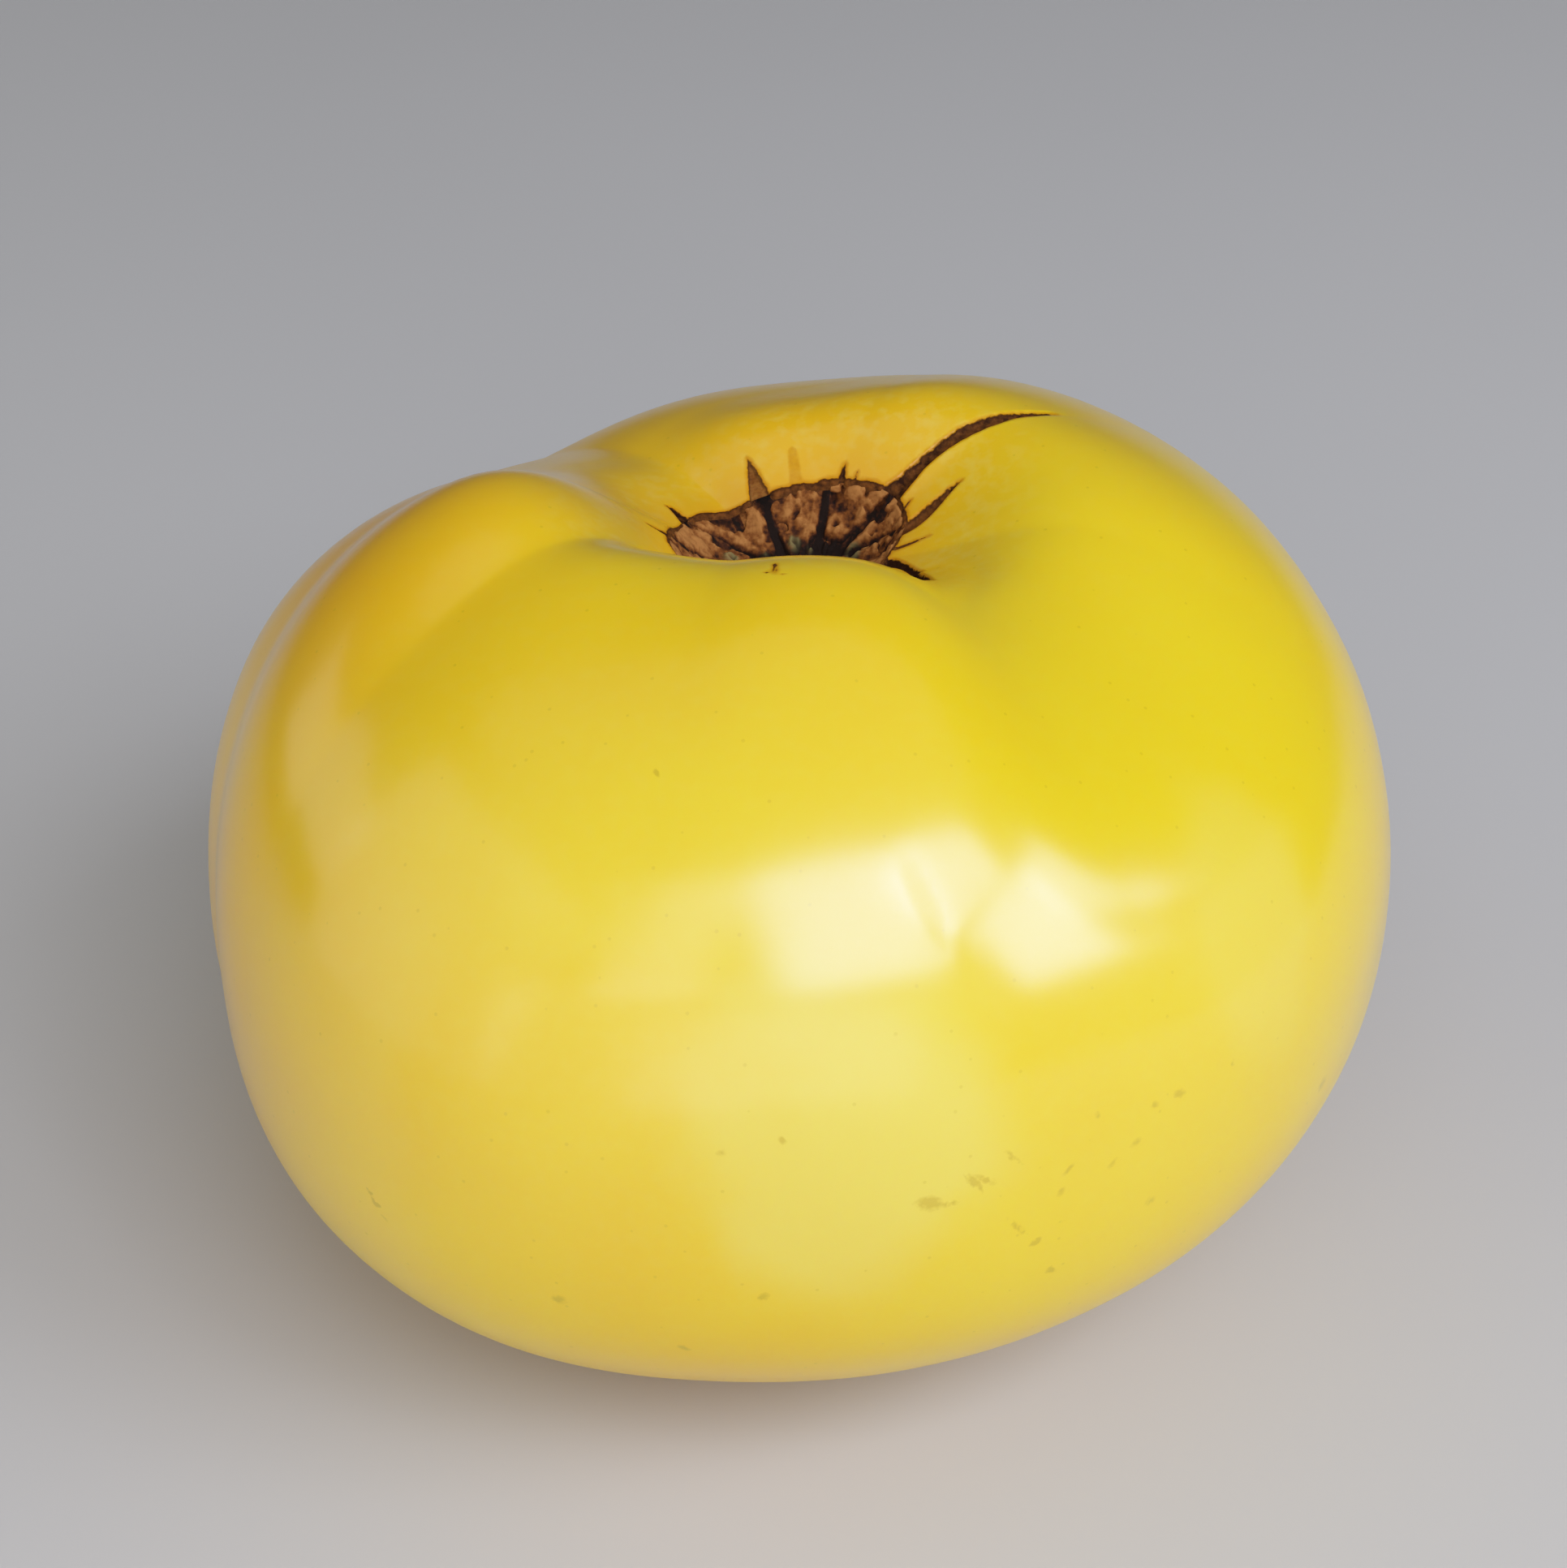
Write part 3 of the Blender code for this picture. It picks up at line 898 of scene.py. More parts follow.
@dataclass(frozen=True)
class DryCork:
    """Dry cork, grown over the scar that the stem left: matt, knobbly and brown, with painted highlights in
    tan on its lumps and painted shade, near black, between them and deep in the crater.

    It gives the eye a rough, dull brown patch against the glossy skin.
    """

    tan: str = "#AA7038"
    brown: str = "#7A4519"
    dark: str = "#3E1D0A"
    pit_shade: str = "#180A03"
    pith: str = "#85794A"
    grain: float = 0.45 * MM
    grain_tone: float = 0.9
    roughness: float = 0.85
    specular: float = 0.2
    relief: float = 0.15 * MM
    relief_strength: float = 0.8

    def build(self) -> bpy.types.Material:
        """Makes the material.

        Returns:
            The cork's material.
        """
        material, tree, shader = new_material("dry_stem_cork")
        place = add_node(tree, Kind.PLACE, output="Object")
        lift = add_node(tree, Kind.ATTRIBUTE, {"attribute_name": "lift"}, "Fac")
        pith = add_node(tree, Kind.ATTRIBUTE, {"attribute_name": "pith"}, "Fac")
        grain = add_node(tree, Kind.NOISE, {"Vector": place, "Scale": 1.0 / self.grain, "Detail": 4.0})
        centred = add_node(tree, Kind.MATHS, {"operation": "SUBTRACT", 0: grain, 1: 0.5})
        grained = {"operation": "MULTIPLY_ADD", 0: centred, 1: self.grain_tone, 2: lift}
        tone = add_node(tree, Kind.MATHS, grained)
        # Tone follows the relief's height: tan painted highlights on the lumps, and painted shade, dark to
        # near black, in the pits, the fissures and deep in the crater.
        browns = ((0.12, self.pit_shade), (0.32, self.dark), (0.55, self.brown), (0.85, self.tan))
        cork = add_node(tree, Kind.RAMP, {"Fac": tone, "stops": browns})
        blend = {"data_type": "RGBA", 0: pith, COLOUR_A: cork, COLOUR_B: self.pith}
        bump = {"Height": grain, "Distance": self.relief, "Strength": self.relief_strength}
        set_node(tree, shader, {
            "Base Color": add_node(tree, Kind.MIX, blend, MIXED),
            "Normal": add_node(tree, Kind.BUMP, bump),
            "Roughness": self.roughness,
            "Specular IOR Level": self.specular,
        })
        return material


@dataclass(frozen=True)
class PaleBoard:
    """Painted fibreboard with a plain matt finish: an even, pale floor that shows a soft shadow."""

    tone: str = "#CAC8C4"
    cloud_tone: str = "#C6C4C0"
    cloud: float = 250.0 * MM
    roughness: float = 0.9

    def build(self) -> bpy.types.Material:
        """Makes the material.

        Returns:
            The floor's material.
        """
        material, tree, shader = new_material("pale_matt_paint")
        place = add_node(tree, Kind.PLACE, output="Object")
        cloud = add_node(tree, Kind.NOISE, {"Vector": place, "Scale": 1.0 / self.cloud, "Detail": 3.0})
        shade = add_node(tree, Kind.RAMP, {"Fac": cloud, "stops": ((0.3, self.cloud_tone), (0.7, self.tone))})
        set_node(tree, shader, {"Base Color": shade, "Roughness": self.roughness})
        return material


def ball_mesh(name: str, places: np.ndarray, extra: dict[str, np.ndarray]) -> bpy.types.Object:
    """Makes a closed mesh by rolling a grid up into a ball and closing it at both poles.

    Args:
        name: The object's name.
        places: Places for each ring, from the stem end down, and each meridian, from azimuth 0 round.
        extra: Named numbers for each ring and meridian, kept on the mesh as attributes.

    Returns:
        The new object, at the origin.
    """
    rings, columns = places.shape[0] - 1, places.shape[1]
    shape = bmesh.new()
    layers = {shape.verts.layers.float.new(label): values for label, values in extra.items()}
    bmesh.ops.create_grid(shape, x_segments=columns, y_segments=rings, size=0.5)
    grid = {}
    for vertex in shape.verts:
        grid[round((0.5 - vertex.co.y) * rings), round((vertex.co.x + 0.5) * columns)] = vertex
    for (ring, column), vertex in grid.items():
        vertex.co = places[ring, column % columns]
        for layer, values in layers.items():
            vertex[layer] = values[ring, column % columns]
    joins = {grid[ring, columns]: grid[ring, 0] for ring in range(1, rings)}
    for pole in (0, rings):
        joins.update({grid[pole, column]: grid[pole, 0] for column in range(1, columns + 1)})
    bmesh.ops.weld_verts(shape, targetmap=joins)
    for face in shape.faces:
        face.smooth = True
    mesh = bpy.data.meshes.new(name)
    shape.to_mesh(mesh)
    shape.free()
    piece = bpy.data.objects.new(name, mesh)
    bpy.context.scene.collection.objects.link(piece)
    return piece


class Patch(NamedTuple):
    """A soft-edged patch of another colour: its middle, its half widths in degrees, and how strong it is."""

    azimuth: float
    polar: float
    width: float
    reach: float
    amount: float

    def cover(self, polar: np.ndarray, azimuth: np.ndarray) -> np.ndarray:
        """How much of the patch's colour shows at each place, 1 in its middle."""
        across = angle_between(azimuth, self.azimuth) / self.width
        return np.exp(-(across**2) - ((polar - self.polar) / self.reach) ** 2)


@dataclass(frozen=True)
class Dent:
    """A shallow crease pressed into the front, with a lower bank on one side and a small ridge beside it.

    Its ends are a polar angle and an azimuth, and its fades are in degrees along it.
    """

    start: tuple[float, float] = (57.5, 280.4)
    end: tuple[float, float] = (63.2, 283.6)
    level_share: float = 0.9
    skin_radius: float = 44.0 * MM
    fade_in: tuple[float, float] = (-2.0, 4.0)
    fade_out: tuple[float, float] = (-0.8, 1.4)
    crease_depth: float = 0.08 * MM
    crease_width: float = 0.45 * MM
    bank_depth: float = 0.11 * MM
    bank_width: float = 3.0 * MM
    bank_edge: tuple[float, float] = (-0.2 * MM, 0.3 * MM)
    ridge_height: float = 0.04 * MM
    ridge_width: float = 1.1 * MM
    ridge_rise: tuple[float, float] = (3.0, 8.0)
    ridge_fall: tuple[float, float] = (8.0, 13.0)

    def depth(self, polar: np.ndarray, azimuth: np.ndarray) -> np.ndarray:
        """How deep the skin is pressed in.

        Args:
            polar: Angles down from the stem.
            azimuth: Azimuths.

        Returns:
            Depths in metres, negative on the ridge.
        """
        scale = np.radians(1.0) * self.skin_radius
        start, end = np.array(self.start), np.array(self.end)
        run = (end - start) * np.array([1.0, self.level_share])
        across = np.stack([polar - start[0], self.level_share * angle_between(azimuth, start[1])], axis=-1)
        length = np.hypot(*run)
        along = across @ run / length
        side = (across[..., 0] * -run[1] + across[..., 1] * run[0]) / length * scale
        fade_out = smooth_step(along, length + self.fade_out[0], length + self.fade_out[1])
        window = smooth_step(along, *self.fade_in) * (1.0 - fade_out)
        tail = smooth_step(along, *self.ridge_rise) * (1.0 - smooth_step(along, *self.ridge_fall))
        ridge = np.exp(-((side / self.ridge_width) ** 2)) * tail
        crease = np.exp(-((side / self.crease_width) ** 2))
        bank = np.exp(-((np.maximum(side, 0.0) / self.bank_width) ** 2))
        slope = smooth_step(side, *self.bank_edge) * bank
        return window * (self.crease_depth * crease + self.bank_depth * slope) - self.ridge_height * ridge


@dataclass
class Skin:
    """The fruit's skin, from under the cork in the crater round to the blossom end."""

    form: FruitForm = field(default_factory=FruitForm)
    cracks: Cracks = field(default_factory=Cracks)
    dent: Dent = field(default_factory=Dent)
    finish: RipeSkin = field(default_factory=RipeSkin)
    columns: int = 512
    inside_rings: int = 8
    hollow_rings: int = 78
    side_rings: int = 104
    inside_spread: float = 0.5
    outside_spread: float = 1.15
    hollow_reach: float = 25.0 * MM
    under_cork: float = 0.5 * MM
    bowl_steepness: float = 2.4
    bowl_edge: float = 0.99
    lip_width: float = 0.7 * MM
    lip_drop: float = 0.15 * MM
    lip_line: float = 0.22 * MM
    lip_tone: float = 0.3
    lip_wander: float = 0.16 * MM
    lip_wander_size: float = 1.3 * MM
    blossom_scar: float = 1.3 * MM
    outline_span: float = 3.0 * MM
    rim_span: float = 12.0 * MM
    # Ochre painted shade on the shoulders turned from the light.
    ochre_shade_patches: tuple[Patch, ...] = (
        Patch(176.0, 48.0, 34.0, 26.0, 0.8),
        Patch(195.0, 95.0, 30.0, 34.0, 0.6),
        Patch(120.0, 48.0, 50.0, 30.0, 0.5),
        Patch(70.0, 48.0, 40.0, 30.0, 0.2),
    )
    fresh_patch: Patch = Patch(325.0, 58.0, 55.0, 32.0, 0.55)
    # Pale yellow patches; the strongest, on the lower front, is a painted reflection.
    pale_and_reflection_patches: tuple[Patch, ...] = (
        Patch(274.0, 82.0, 15.0, 19.0, 0.5),
        Patch(225.0, 88.0, 14.0, 26.0, 0.2),
        Patch(318.0, 72.0, 10.0, 14.0, 0.25),
        Patch(60.0, 80.0, 22.0, 24.0, 0.35),
        Patch(140.0, 95.0, 18.0, 20.0, 0.35),
    )
    patch_edge: float = 9.0 * MM
    patch_wander: float = 0.22
    patch_ease: tuple[float, float] = (0.3, 0.75)
    patch_end: float = 0.02
    # Ochre painted shade round the base, underneath.
    base_ochre_shade: float = 0.5
    base_span: tuple[float, float] = (95.0, 150.0)
    waxy_side: float = 275.0
    dullness: float = 0.65
    dull_flank: tuple[float, float] = (30.0, 75.0)
    dull_turn: tuple[float, float] = (0.1, 0.8)
    dull_base: tuple[float, float] = (82.0, 108.0)
    ripple: float = 0.12 * MM
    ripple_size: float = 16.0 * MM
    ripple_top: tuple[float, float] = (15.0, 35.0)
    ripple_base: tuple[float, float] = (150.0, 165.0)

    def rows(self) -> tuple[np.ndarray, np.ndarray, np.ndarray]:
        """Lays out the rings.

        Returns:
            Polar angles and azimuths for each ring and meridian, and the crater's radius at each meridian.
        """
        azimuth = np.arange(self.columns) * 360.0 / self.columns
        edge = self.form.crater_edge(azimuth)
        inside = np.linspace(0.0, 1.0, self.inside_rings + 1)[:-1] ** self.inside_spread
        outward = np.linspace(0.0, 1.0, self.hollow_rings + 1) ** self.outside_spread
        distance = np.concatenate([
            inside[None, :] * edge[:, None],
            edge[:, None] + outward[None, :] * (self.hollow_reach - edge[:, None]),
        ], axis=1)
        upper = self.form.polar_at(distance, azimuth).T
        down = np.linspace(0.0, 1.0, self.side_rings + 1)[1:]
        lower = upper[-1] + (180.0 - upper[-1]) * down[:, None]
        polar = np.concatenate([upper, lower])
        return polar, np.broadcast_to(azimuth, polar.shape), edge

    def paleness_and_reflection(self, polar: np.ndarray, azimuth: np.ndarray, places: np.ndarray) -> np.ndarray:
        """How far the skin fades to a pale yellow, in irregular patches with soft edges; the strongest, on
        the lower front, is a painted reflection.

        Args:
            polar: Angles down from the stem.
            azimuth: Azimuths.
            places: The skin's places, which the patches' wandering edges follow.

        Returns:
            0 for none of the pale colour, up to 1.
        """
        wander = self.patch_wander * lumps(places, self.patch_edge, 3, Seed.PATCHES)
        total = np.zeros_like(polar)
        for patch in self.pale_and_reflection_patches:
            plain = patch.cover(polar, azimuth)
            cover = smooth_step(plain + wander, *self.patch_ease)
            total = np.maximum(total, patch.amount * cover * (plain > self.patch_end))
        return total

    def sheen(self, polar: np.ndarray, azimuth: np.ndarray) -> np.ndarray:
        """How waxy the skin is: glossy on the crown and the front, duller down the flanks and underneath.

        Args:
            polar: Angles down from the stem.
            azimuth: Azimuths.

        Returns:
            1 for full gloss, down to what the dullness leaves.
        """
        away = 0.5 - 0.5 * np.cos(np.radians(angle_between(azimuth, self.waxy_side)))
        flank = smooth_step(polar, *self.dull_flank) * smooth_step(away, *self.dull_turn)
        dull = np.maximum(flank, smooth_step(polar, *self.dull_base))
        return 1.0 - self.dullness * dull

    def ochre_shade_cover(self, polar: np.ndarray, azimuth: np.ndarray) -> np.ndarray:
        """How much ochre is painted on as shade: most on the left and back shoulders, which are turned from
        the light, and round the base underneath.

        Args:
            polar: Angles down from the stem.
            azimuth: Azimuths.

        Returns:
            0 for none of the ochre, up to 1.
        """
        total = self.base_ochre_shade * smooth_step(polar, *self.base_span)
        for patch in self.ochre_shade_patches:
            total = np.maximum(total, patch.amount * patch.cover(polar, azimuth))
        return total

    def outline(
        self,
        polar: np.ndarray,
        places: np.ndarray,
        past_edge: np.ndarray,
        inside_crack: np.ndarray,
        tone: np.ndarray,
    ) -> tuple[np.ndarray, np.ndarray]:
        """Joins the scab at the crater's lip and the blossom scar to the cracks.

        Args:
            polar: Angles down from the stem.
            places: The skin's places.
            past_edge: How far each place is past the crater's edge.
            inside_crack: Metres inside the nearest crack, negative outside.
            tone: The nearest crack's tone.

        Returns:
            Metres inside the nearest crack or scar, and its tone.
        """
        wander = self.lip_wander * lumps(places, self.lip_wander_size, 2, Seed.LIP)
        inside_lip = self.lip_line + wander - past_edge
        tone = np.where(inside_lip > inside_crack, self.lip_tone, tone)
        upper = np.maximum(inside_crack, inside_lip)
        blossom = self.blossom_scar + wander - np.hypot(places[..., 0], places[..., 1])
        return np.where(polar < 90.0, upper, np.maximum(blossom, -self.outline_span)), tone

    def ripples(self, polar: np.ndarray, places: np.ndarray) -> np.ndarray:
        """The skin's faint unevenness, calm round the stem and where the fruit rests.

        Args:
            polar: Angles down from the stem.
            places: The skin's places.

        Returns:
            Heights in metres.
        """
        calm = smooth_step(polar, *self.ripple_top) * (1.0 - smooth_step(polar, *self.ripple_base))
        return self.ripple * lumps(places, self.ripple_size, 2, Seed.RIPPLES) * calm

    def build(self) -> bpy.types.Object:
        """Builds and dresses the skin.

        Returns:
            The skin, riding on the fruit's body.
        """
        polar, azimuth, edge = self.rows()
        places = self.form.points(polar, azimuth)
        distance = self.form.stem_distance(polar, places)
        crown = polar < 90.0
        past_edge = np.where(crown, distance - edge[None, :], 1.0)
        inside_crack, groove, tone = self.cracks.measure(distance, azimuth)
        inside_crack, tone = self.outline(polar, places, past_edge, inside_crack, tone)
        outward = places / np.linalg.norm(places, axis=-1, keepdims=True)
        raised = self.ripples(polar, places) - self.dent.depth(polar, azimuth)
        places = places + outward * raised[..., None]
        lip = self.lip_drop * np.exp(-np.maximum(past_edge, 0.0) / self.lip_width) * crown
        bowl = np.clip(distance / edge[None, :], 0.0, 1.0) ** self.bowl_steepness
        sunk = (self.form.crater_depth + self.under_cork) * (1.0 - bowl)
        sunk += self.under_cork * (bowl < self.bowl_edge)
        places[..., 2] -= groove * crown + lip + np.where(past_edge < 0.0, sunk, 0.0)
        extra = {
            "crack": np.clip(0.5 + inside_crack / self.outline_span, 0.0, 1.0),
            "tone": tone,
            "rim": np.clip(past_edge / self.rim_span, 0.0, 1.0),
            # The ochre layer is painted shade on the shoulders turned from the light and round the base.
            "ripe": self.ochre_shade_cover(polar, azimuth),
            "fresh": self.fresh_patch.amount * self.fresh_patch.cover(polar, azimuth),
            # The pale layer holds pale patches, and the strongest, on the lower front, is a painted
            # reflection.
            "pale": self.paleness_and_reflection(polar, azimuth, places),
            "sheen": self.sheen(polar, azimuth),
        }
        piece = ball_mesh("skin", self.form.in_row_frame(places), extra)
        piece.data.materials.append(self.finish.build(self.form))
        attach(piece, BODY)
        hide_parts(NODE)
        return piece


class Fissure(NamedTuple):
    """A split in the cork: its outer and inner ends' azimuths, how far out each is, and its half width."""

    azimuth: float
    inner_azimuth: float
    inner: float
    outer: float
    half_width: float


@dataclass
class StemScar:
    """The cork that lines the crater where the stem broke off, with fissures, knobs and a stub of pith."""

    form: FruitForm = field(default_factory=FruitForm)
    finish: DryCork = field(default_factory=DryCork)
    columns: int = 480
    top_rings: int = 100
    under_rings: int = 8
    edge_depth: float = 0.22 * MM
    steepness: float = 2.4
    overlap: float = 1.012
    thickness: float = 0.45 * MM
    plate: float = 2.3 * MM
    lump: float = 1.5 * MM
    relief_height: float = 0.55 * MM
    stub_height: float = 0.9 * MM
    moat_depth: float = 0.6 * MM
    bundle_radius: float = 0.5 * MM
    bundle_height: float = 0.3 * MM
    bundle_ring: float = 0.61
    bundle_stagger: float = 0.05
    bundle_rhythm: float = 2.3
    top_spread: float = 0.8
    stub_span: tuple[float, float] = (0.2, 0.3)
    moat_ring: float = 0.38
    moat_width: float = 0.12
    calm_span: tuple[float, float] = (0.95, 1.0)
    shade_span: tuple[float, float] = (0.5, 0.85)
    bend: float = 0.5 * MM
    bend_size: float = 1.8 * MM
    fibre: float = 0.45 * MM
    fibre_stretch: float = 0.25
    pit_size: float = 1.1 * MM
    pit_ease: tuple[float, float] = (0.25, 0.5)
    cleft_ends: tuple[float, float, float, float] = (-0.15, 0.1, 1.0, 1.1)
    cleft_depth: float = 1.2
    tone_level: float = 0.56
    relief_shade_contrast: float = 0.65
    bundles: tuple[float, ...] = (
        74.0, 93.0, 121.0, 148.0, 41.0, 8.0, 333.0, 301.0, 272.0, 239.0, 209.0, 178.0,
    )
    fissures: tuple[Fissure, ...] = (
        Fissure(73.5, 72.0, 0.52, 1.0, 0.26 * MM),
        Fissure(111.0, 103.0, 0.5, 1.0, 0.3 * MM),
        Fissure(155.0, 122.0, 0.55, 1.0, 0.24 * MM),
        Fissure(39.0, 58.0, 0.5, 1.0, 0.34 * MM),
        Fissure(19.0, 44.0, 0.6, 0.97, 0.22 * MM),
        Fissure(180.0, 160.0, 0.7, 1.0, 0.2 * MM),
        Fissure(338.0, 352.0, 0.55, 1.0, 0.3 * MM),
        Fissure(284.0, 280.0, 0.5, 1.0, 0.24 * MM),
        Fissure(226.0, 236.0, 0.5, 1.0, 0.26 * MM),
        Fissure(312.0, 318.0, 0.6, 0.9, 0.18 * MM),
        Fissure(253.0, 258.0, 0.55, 0.92, 0.18 * MM),
    )

    def clefts(self, fraction: np.ndarray, azimuth: np.ndarray) -> np.ndarray:
        """How deep the fissures cut.

        Args:
            fraction: How far out each place is, 1 at the crater's edge.
            azimuth: Azimuths.

        Returns:
            0 on whole cork, up to 1 in the middle of a fissure.
        """
        cut = np.zeros_like(fraction)
        start, begun, full, end = self.cleft_ends
        for fissure in self.fissures:
            along = (fraction - fissure.inner) / (fissure.outer - fissure.inner)
            line = fissure.inner_azimuth + angle_between(fissure.azimuth, fissure.inner_azimuth) * along
            across = np.abs(np.radians(angle_between(azimuth, line))) * fraction * self.form.crater_radius
            half = fissure.half_width * (1.5 - 0.7 * np.clip(along, 0.0, 1.0))
            ends = smooth_step(along, start, begun) * (1.0 - smooth_step(along, full, end))
            cut = np.maximum(cut, (1.0 - smooth_step(across, 0.4 * half, 1.6 * half)) * ends)
        return cut

    def bundle_marks(self, fraction: np.ndarray, azimuth: np.ndarray) -> np.ndarray:
        """The pale ends of the bundles that fed the fruit, each a small ring with a dimple.

        Args:
            fraction: How far out each place is, 1 at the crater's edge.
            azimuth: Azimuths.

        Returns:
            0 away from the bundles, up to 1 on a ring.
        """
        beads = np.zeros_like(fraction)
        place = fraction * np.exp(1j * np.radians(azimuth))
        for index, direction in enumerate(self.bundles):
            ring = self.bundle_ring + self.bundle_stagger * np.sin(self.bundle_rhythm * index)
            away = np.abs(place - ring * np.exp(1j * np.radians(direction))) * self.form.crater_radius
            past_ring = (away - 0.6 * self.bundle_radius) / (0.4 * self.bundle_radius)
            beads = np.maximum(beads, np.exp(-(past_ring**2)))
        return beads

    def relief(self, places: np.ndarray, fraction: np.ndarray, azimuth: np.ndarray) -> np.ndarray:
        """The cork's plates, lumps, fibres, pits and fissures.

        Args:
            places: Places on the smooth bowl.
            fraction: How far out each place is, 1 at the crater's edge.
            azimuth: Azimuths.

        Returns:
            Lifts of about -1 to 1, 0 being the smooth bowl.
        """
        bent = places + self.bend * lumps(places, self.bend_size, 1, Seed.BEND)[..., None]
        plates = smooth_step(seams(bent, self.plate, Seed.PLATES), 0.0, 0.3)
        radius = self.form.crater_radius
        outward = self.fibre_stretch * fraction * radius
        rolled = np.stack([np.radians(azimuth) * radius, outward, np.zeros_like(fraction)], axis=-1)
        fibres = lumps(rolled, self.fibre, 2, Seed.FIBRES)
        pits = smooth_step(lumps(bent, self.pit_size, 1, Seed.PITS), *self.pit_ease)
        lift = 0.35 * plates + 0.6 * lumps(bent, self.lump, 3, Seed.LUMPS) + 0.25 * fibres - 0.9 * pits
        return np.clip(lift - self.cleft_depth * self.clefts(fraction, azimuth), -1.2, 1.0)

    def bowl(self, polar: np.ndarray, azimuth: np.ndarray, fraction: np.ndarray) -> np.ndarray:
        """The smooth bowl that the cork lines.

        Args:
            polar: Angles down from the stem.
            azimuth: Azimuths.
            fraction: How far out each place is, 1 at the crater's edge.

        Returns:
            Places, with x, y and z along the last axis.
        """
        places = self.form.points(polar, azimuth)
        deeper = (self.form.crater_depth - self.edge_depth) * (1.0 - fraction**self.steepness)
        places[..., 2] -= self.edge_depth + deeper
        return places

    def build(self) -> bpy.types.Object:
        """Builds and dresses the cork.

        Returns:
            The cork, riding on the fruit's body.
        """
        azimuth = np.arange(self.columns) * 360.0 / self.columns
        edge = self.form.crater_edge(azimuth)
        top = np.linspace(0.0, 1.0, self.top_rings + 1) ** self.top_spread
        under = np.linspace(1.0, 0.0, self.under_rings + 1)[1:]
        fraction = np.concatenate([top, under])
        distance = fraction[None, :] * edge[:, None] * self.overlap
        polar = self.form.polar_at(distance, azimuth).T
        around = np.broadcast_to(azimuth, polar.shape)
        part = np.broadcast_to(fraction[:, None], polar.shape)
        places = self.bowl(polar, around, part)
        upper = np.arange(len(fraction))[:, None] <= self.top_rings
        stub = 1.0 - smooth_step(part, *self.stub_span)
        moat = np.exp(-(((part - self.moat_ring) / self.moat_width) ** 2))
        lift = self.relief(places, part, around) * (1.0 - 0.5 * stub)
        beads = self.bundle_marks(part, around)
        calm = 1.0 - smooth_step(part, *self.calm_span)
        raised = self.relief_height * lift * calm + self.stub_height * stub - self.moat_depth * moat
        raised += self.bundle_height * beads
        places[..., 2] += np.where(upper, raised, -self.thickness * (1.0 - part**6))
        # Painted shade: the cork's tone darkens in the moat round the stub and towards the crater's bottom,
        # and rises and falls with the relief as painted highlights on the lumps and painted shade between
        # them.
        shade = (0.5 * moat + 0.4 * (1.0 - smooth_step(part, *self.shade_span))) * (1.0 - stub)
        extra = {
            "lift": np.clip(self.tone_level + self.relief_shade_contrast * lift - shade, 0.0, 1.0),
            "pith": np.clip(0.75 * beads * smooth_step(lift, -0.6, 0.1) + 0.3 * stub, 0.0, 0.8),
        }
        piece = ball_mesh("stem_scar", self.form.in_row_frame(places), extra)
        piece.data.materials.append(self.finish.build())
        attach(piece, BODY)
        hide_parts(NODE)
        return piece


class Softbox(NamedTuple):
    """A soft light: its bearing and height as seen from the fruit, its distance, size, power and colour."""

    name: str
    bearing: float
    height: float
    distance: float
    width: float
    depth: float
    power: float
    colour: str = "#FFFFFF"


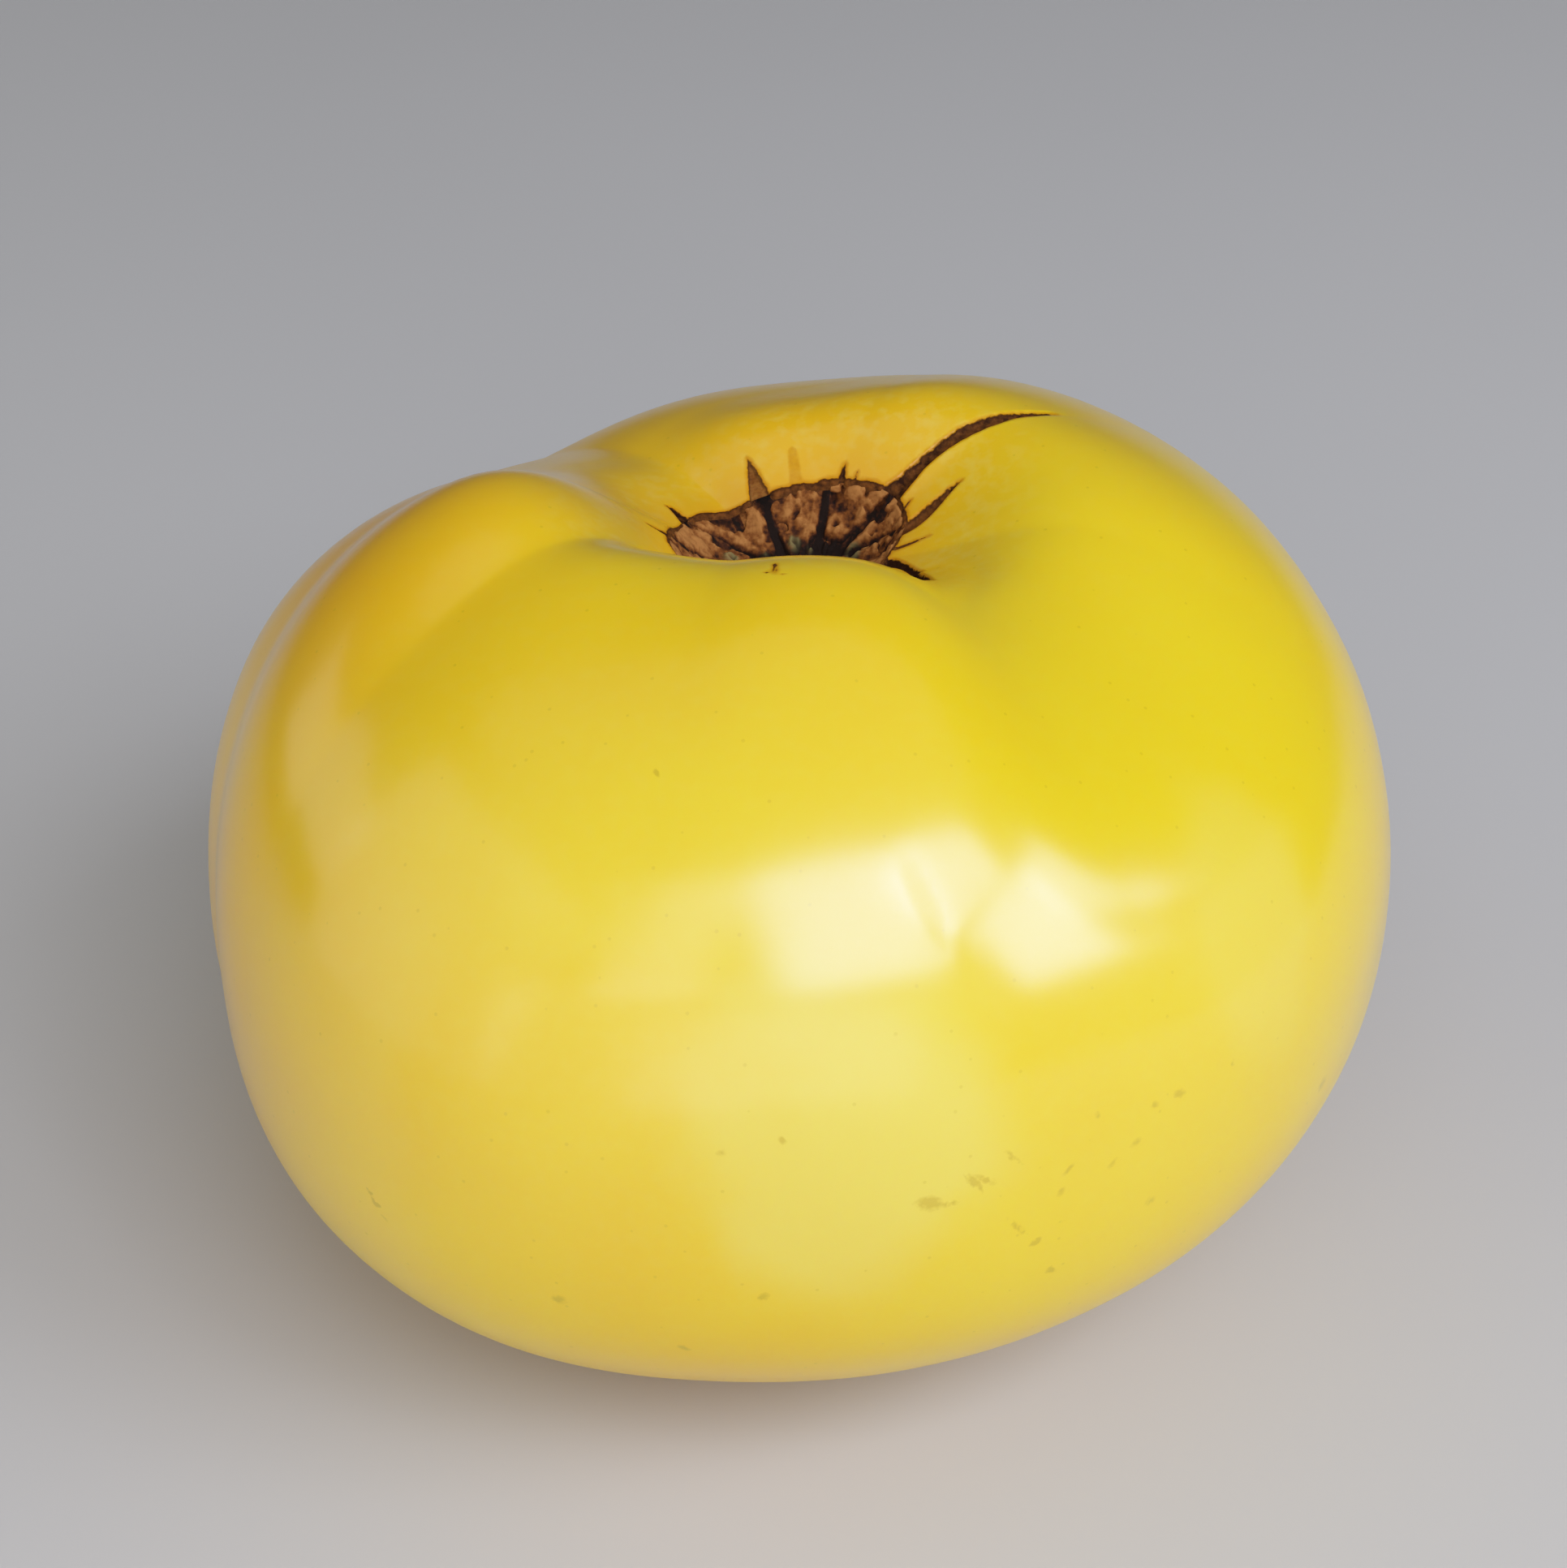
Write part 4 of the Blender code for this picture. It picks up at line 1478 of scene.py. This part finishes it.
@dataclass
class Studio:
    """The pale floor, the soft lights and the camera at the photograph's viewing angle."""

    form: FruitForm = field(default_factory=FruitForm)
    view_height: float = 34.2
    view_distance: float = 260.0 * MM
    aim_x: float = -1.1 * MM
    aim_z: float = 6.4 * MM
    focal_pixels: float = 3980.0
    image_height: float = 1932.0
    sensor: float = 36.0
    near_clip: float = 10.0 * MM
    floor_side: float = 4.0
    floor_finish: PaleBoard = field(default_factory=PaleBoard)
    ambient: float = 0.08
    ambient_colour: str = "#E8EAEE"
    softboxes: tuple[Softbox, ...] = (
        Softbox("key_left", -71.0, 45.0, 0.8, 0.38, 0.4, 2.7, "#E8EDFF"),
        Softbox("key_right", -29.0, 30.5, 0.8, 0.34, 0.29, 1.9, "#E8EDFF"),
        Softbox("key_top", -41.0, 49.5, 0.8, 0.34, 0.18, 1.0, "#E8EDFF"),
        Softbox("key_corner", -10.0, 34.0, 0.8, 0.2, 0.17, 0.5, "#E8EDFF"),
        Softbox("front", -90.0, 12.0, 0.9, 1.6, 0.7, 2.1),
        Softbox("front_low", -86.0, 8.0, 0.85, 0.6, 0.5, 0.7),
        Softbox("left_top", -106.0, 42.0, 0.8, 0.18, 0.42, 0.38),
        Softbox("left", -158.0, 24.0, 0.9, 1.1, 0.95, 1.9),
        Softbox("left_back", 160.0, 18.0, 0.9, 0.34, 0.3, 0.2),
        Softbox("right", -18.0, 10.0, 0.9, 1.0, 0.4, 0.5),
        Softbox("overhead", -90.0, 84.0, 1.2, 1.9, 1.5, 2.2),
    )
    shoulder_white: float = 1.6
    shoulder_points: tuple[tuple[float, float], ...] = (
        (0.0, 0.0),
        (0.35, 0.55),
        (0.55, 0.78),
        (0.75, 0.915),
        (1.0, 1.0),
    )

    def build_floor(self) -> bpy.types.Object:
        """Lays the floor.

        Returns:
            The floor, which isn't part of the object.
        """
        shape = bmesh.new()
        bmesh.ops.create_grid(shape, x_segments=1, y_segments=1, size=0.5 * self.floor_side)
        mesh = bpy.data.meshes.new("floor")
        shape.to_mesh(mesh)
        shape.free()
        mesh.materials.append(self.floor_finish.build())
        floor = bpy.data.objects.new("floor", mesh)
        bpy.context.scene.collection.objects.link(floor)
        return floor

    def build_lights(self) -> None:
        """Places the soft lights and the even light from all round."""
        middle = Vector((0.0, 0.0, self.form.base_depth))
        for box in self.softboxes:
            light = bpy.data.lights.new(box.name, "AREA")
            light.shape = "RECTANGLE"
            light.size = box.width
            light.size_y = box.depth
            light.energy = box.power
            light.color = linear(box.colour)[:3]
            bearing, height = math.radians(box.bearing), math.radians(box.height)
            level = math.cos(height)
            away = Vector((math.cos(bearing) * level, math.sin(bearing) * level, math.sin(height)))
            lamp = bpy.data.objects.new(box.name, light)
            lamp.location = middle + box.distance * away
            lamp.rotation_euler = away.to_track_quat("Z", "Y").to_euler()
            bpy.context.scene.collection.objects.link(lamp)
        world = bpy.data.worlds.new("even_light")
        world.use_nodes = True
        background = world.node_tree.nodes["Background"]
        background.inputs["Color"].default_value = linear(self.ambient_colour)
        background.inputs["Strength"].default_value = self.ambient
        bpy.context.scene.world = world

    def build_camera(self) -> bpy.types.Object:
        """Sets up the camera.

        Returns:
            The camera.
        """
        lens = bpy.data.cameras.new("view")
        lens.sensor_width = self.sensor
        lens.lens = self.focal_pixels * self.sensor / self.image_height
        lens.clip_start = self.near_clip
        camera = bpy.data.objects.new("view", lens)
        tilt = math.radians(self.view_height)
        origin = self.form.in_row_frame(np.zeros((1, 3)))[0]
        aim = Vector(origin) + Vector((self.aim_x, 0.0, self.aim_z))
        camera.location = aim + self.view_distance * Vector((0.0, -math.cos(tilt), math.sin(tilt)))
        camera.rotation_euler = Euler((0.5 * math.pi - tilt, 0.0, 0.0))
        bpy.context.scene.collection.objects.link(camera)
        bpy.context.scene.camera = camera
        return camera

    def build_response(self) -> None:
        """Sets a camera's response: plain colours, with a shoulder that keeps bright skin from clipping."""
        view = bpy.context.scene.view_settings
        view.view_transform = "Standard"
        view.use_curve_mapping = True
        mapping = view.curve_mapping
        mapping.white_level = (self.shoulder_white,) * 3
        points = mapping.curves[3].points
        while len(points) < len(self.shoulder_points):
            points.new(0.5, 0.5)
        for point, place in zip(points, self.shoulder_points):
            point.location = place
        mapping.update()

    def build(self) -> None:
        """Builds the whole studio."""
        self.build_floor()
        self.build_lights()
        self.build_camera()
        self.build_response()


def main() -> None:
    """Builds the camera, the studio and then the fruit, and reports each piece."""
    logging.basicConfig(level=logging.INFO, format="%(message)s")
    Studio().build()
    for maker in (Skin(), StemScar()):
        piece = maker.build()
        sides = [side / MM for side in piece.dimensions]
        log.info("%s: %d faces, %.1f x %.1f x %.1f mm", piece.name, len(piece.data.polygons), *sides)


if __name__ == "__main__":
    main()
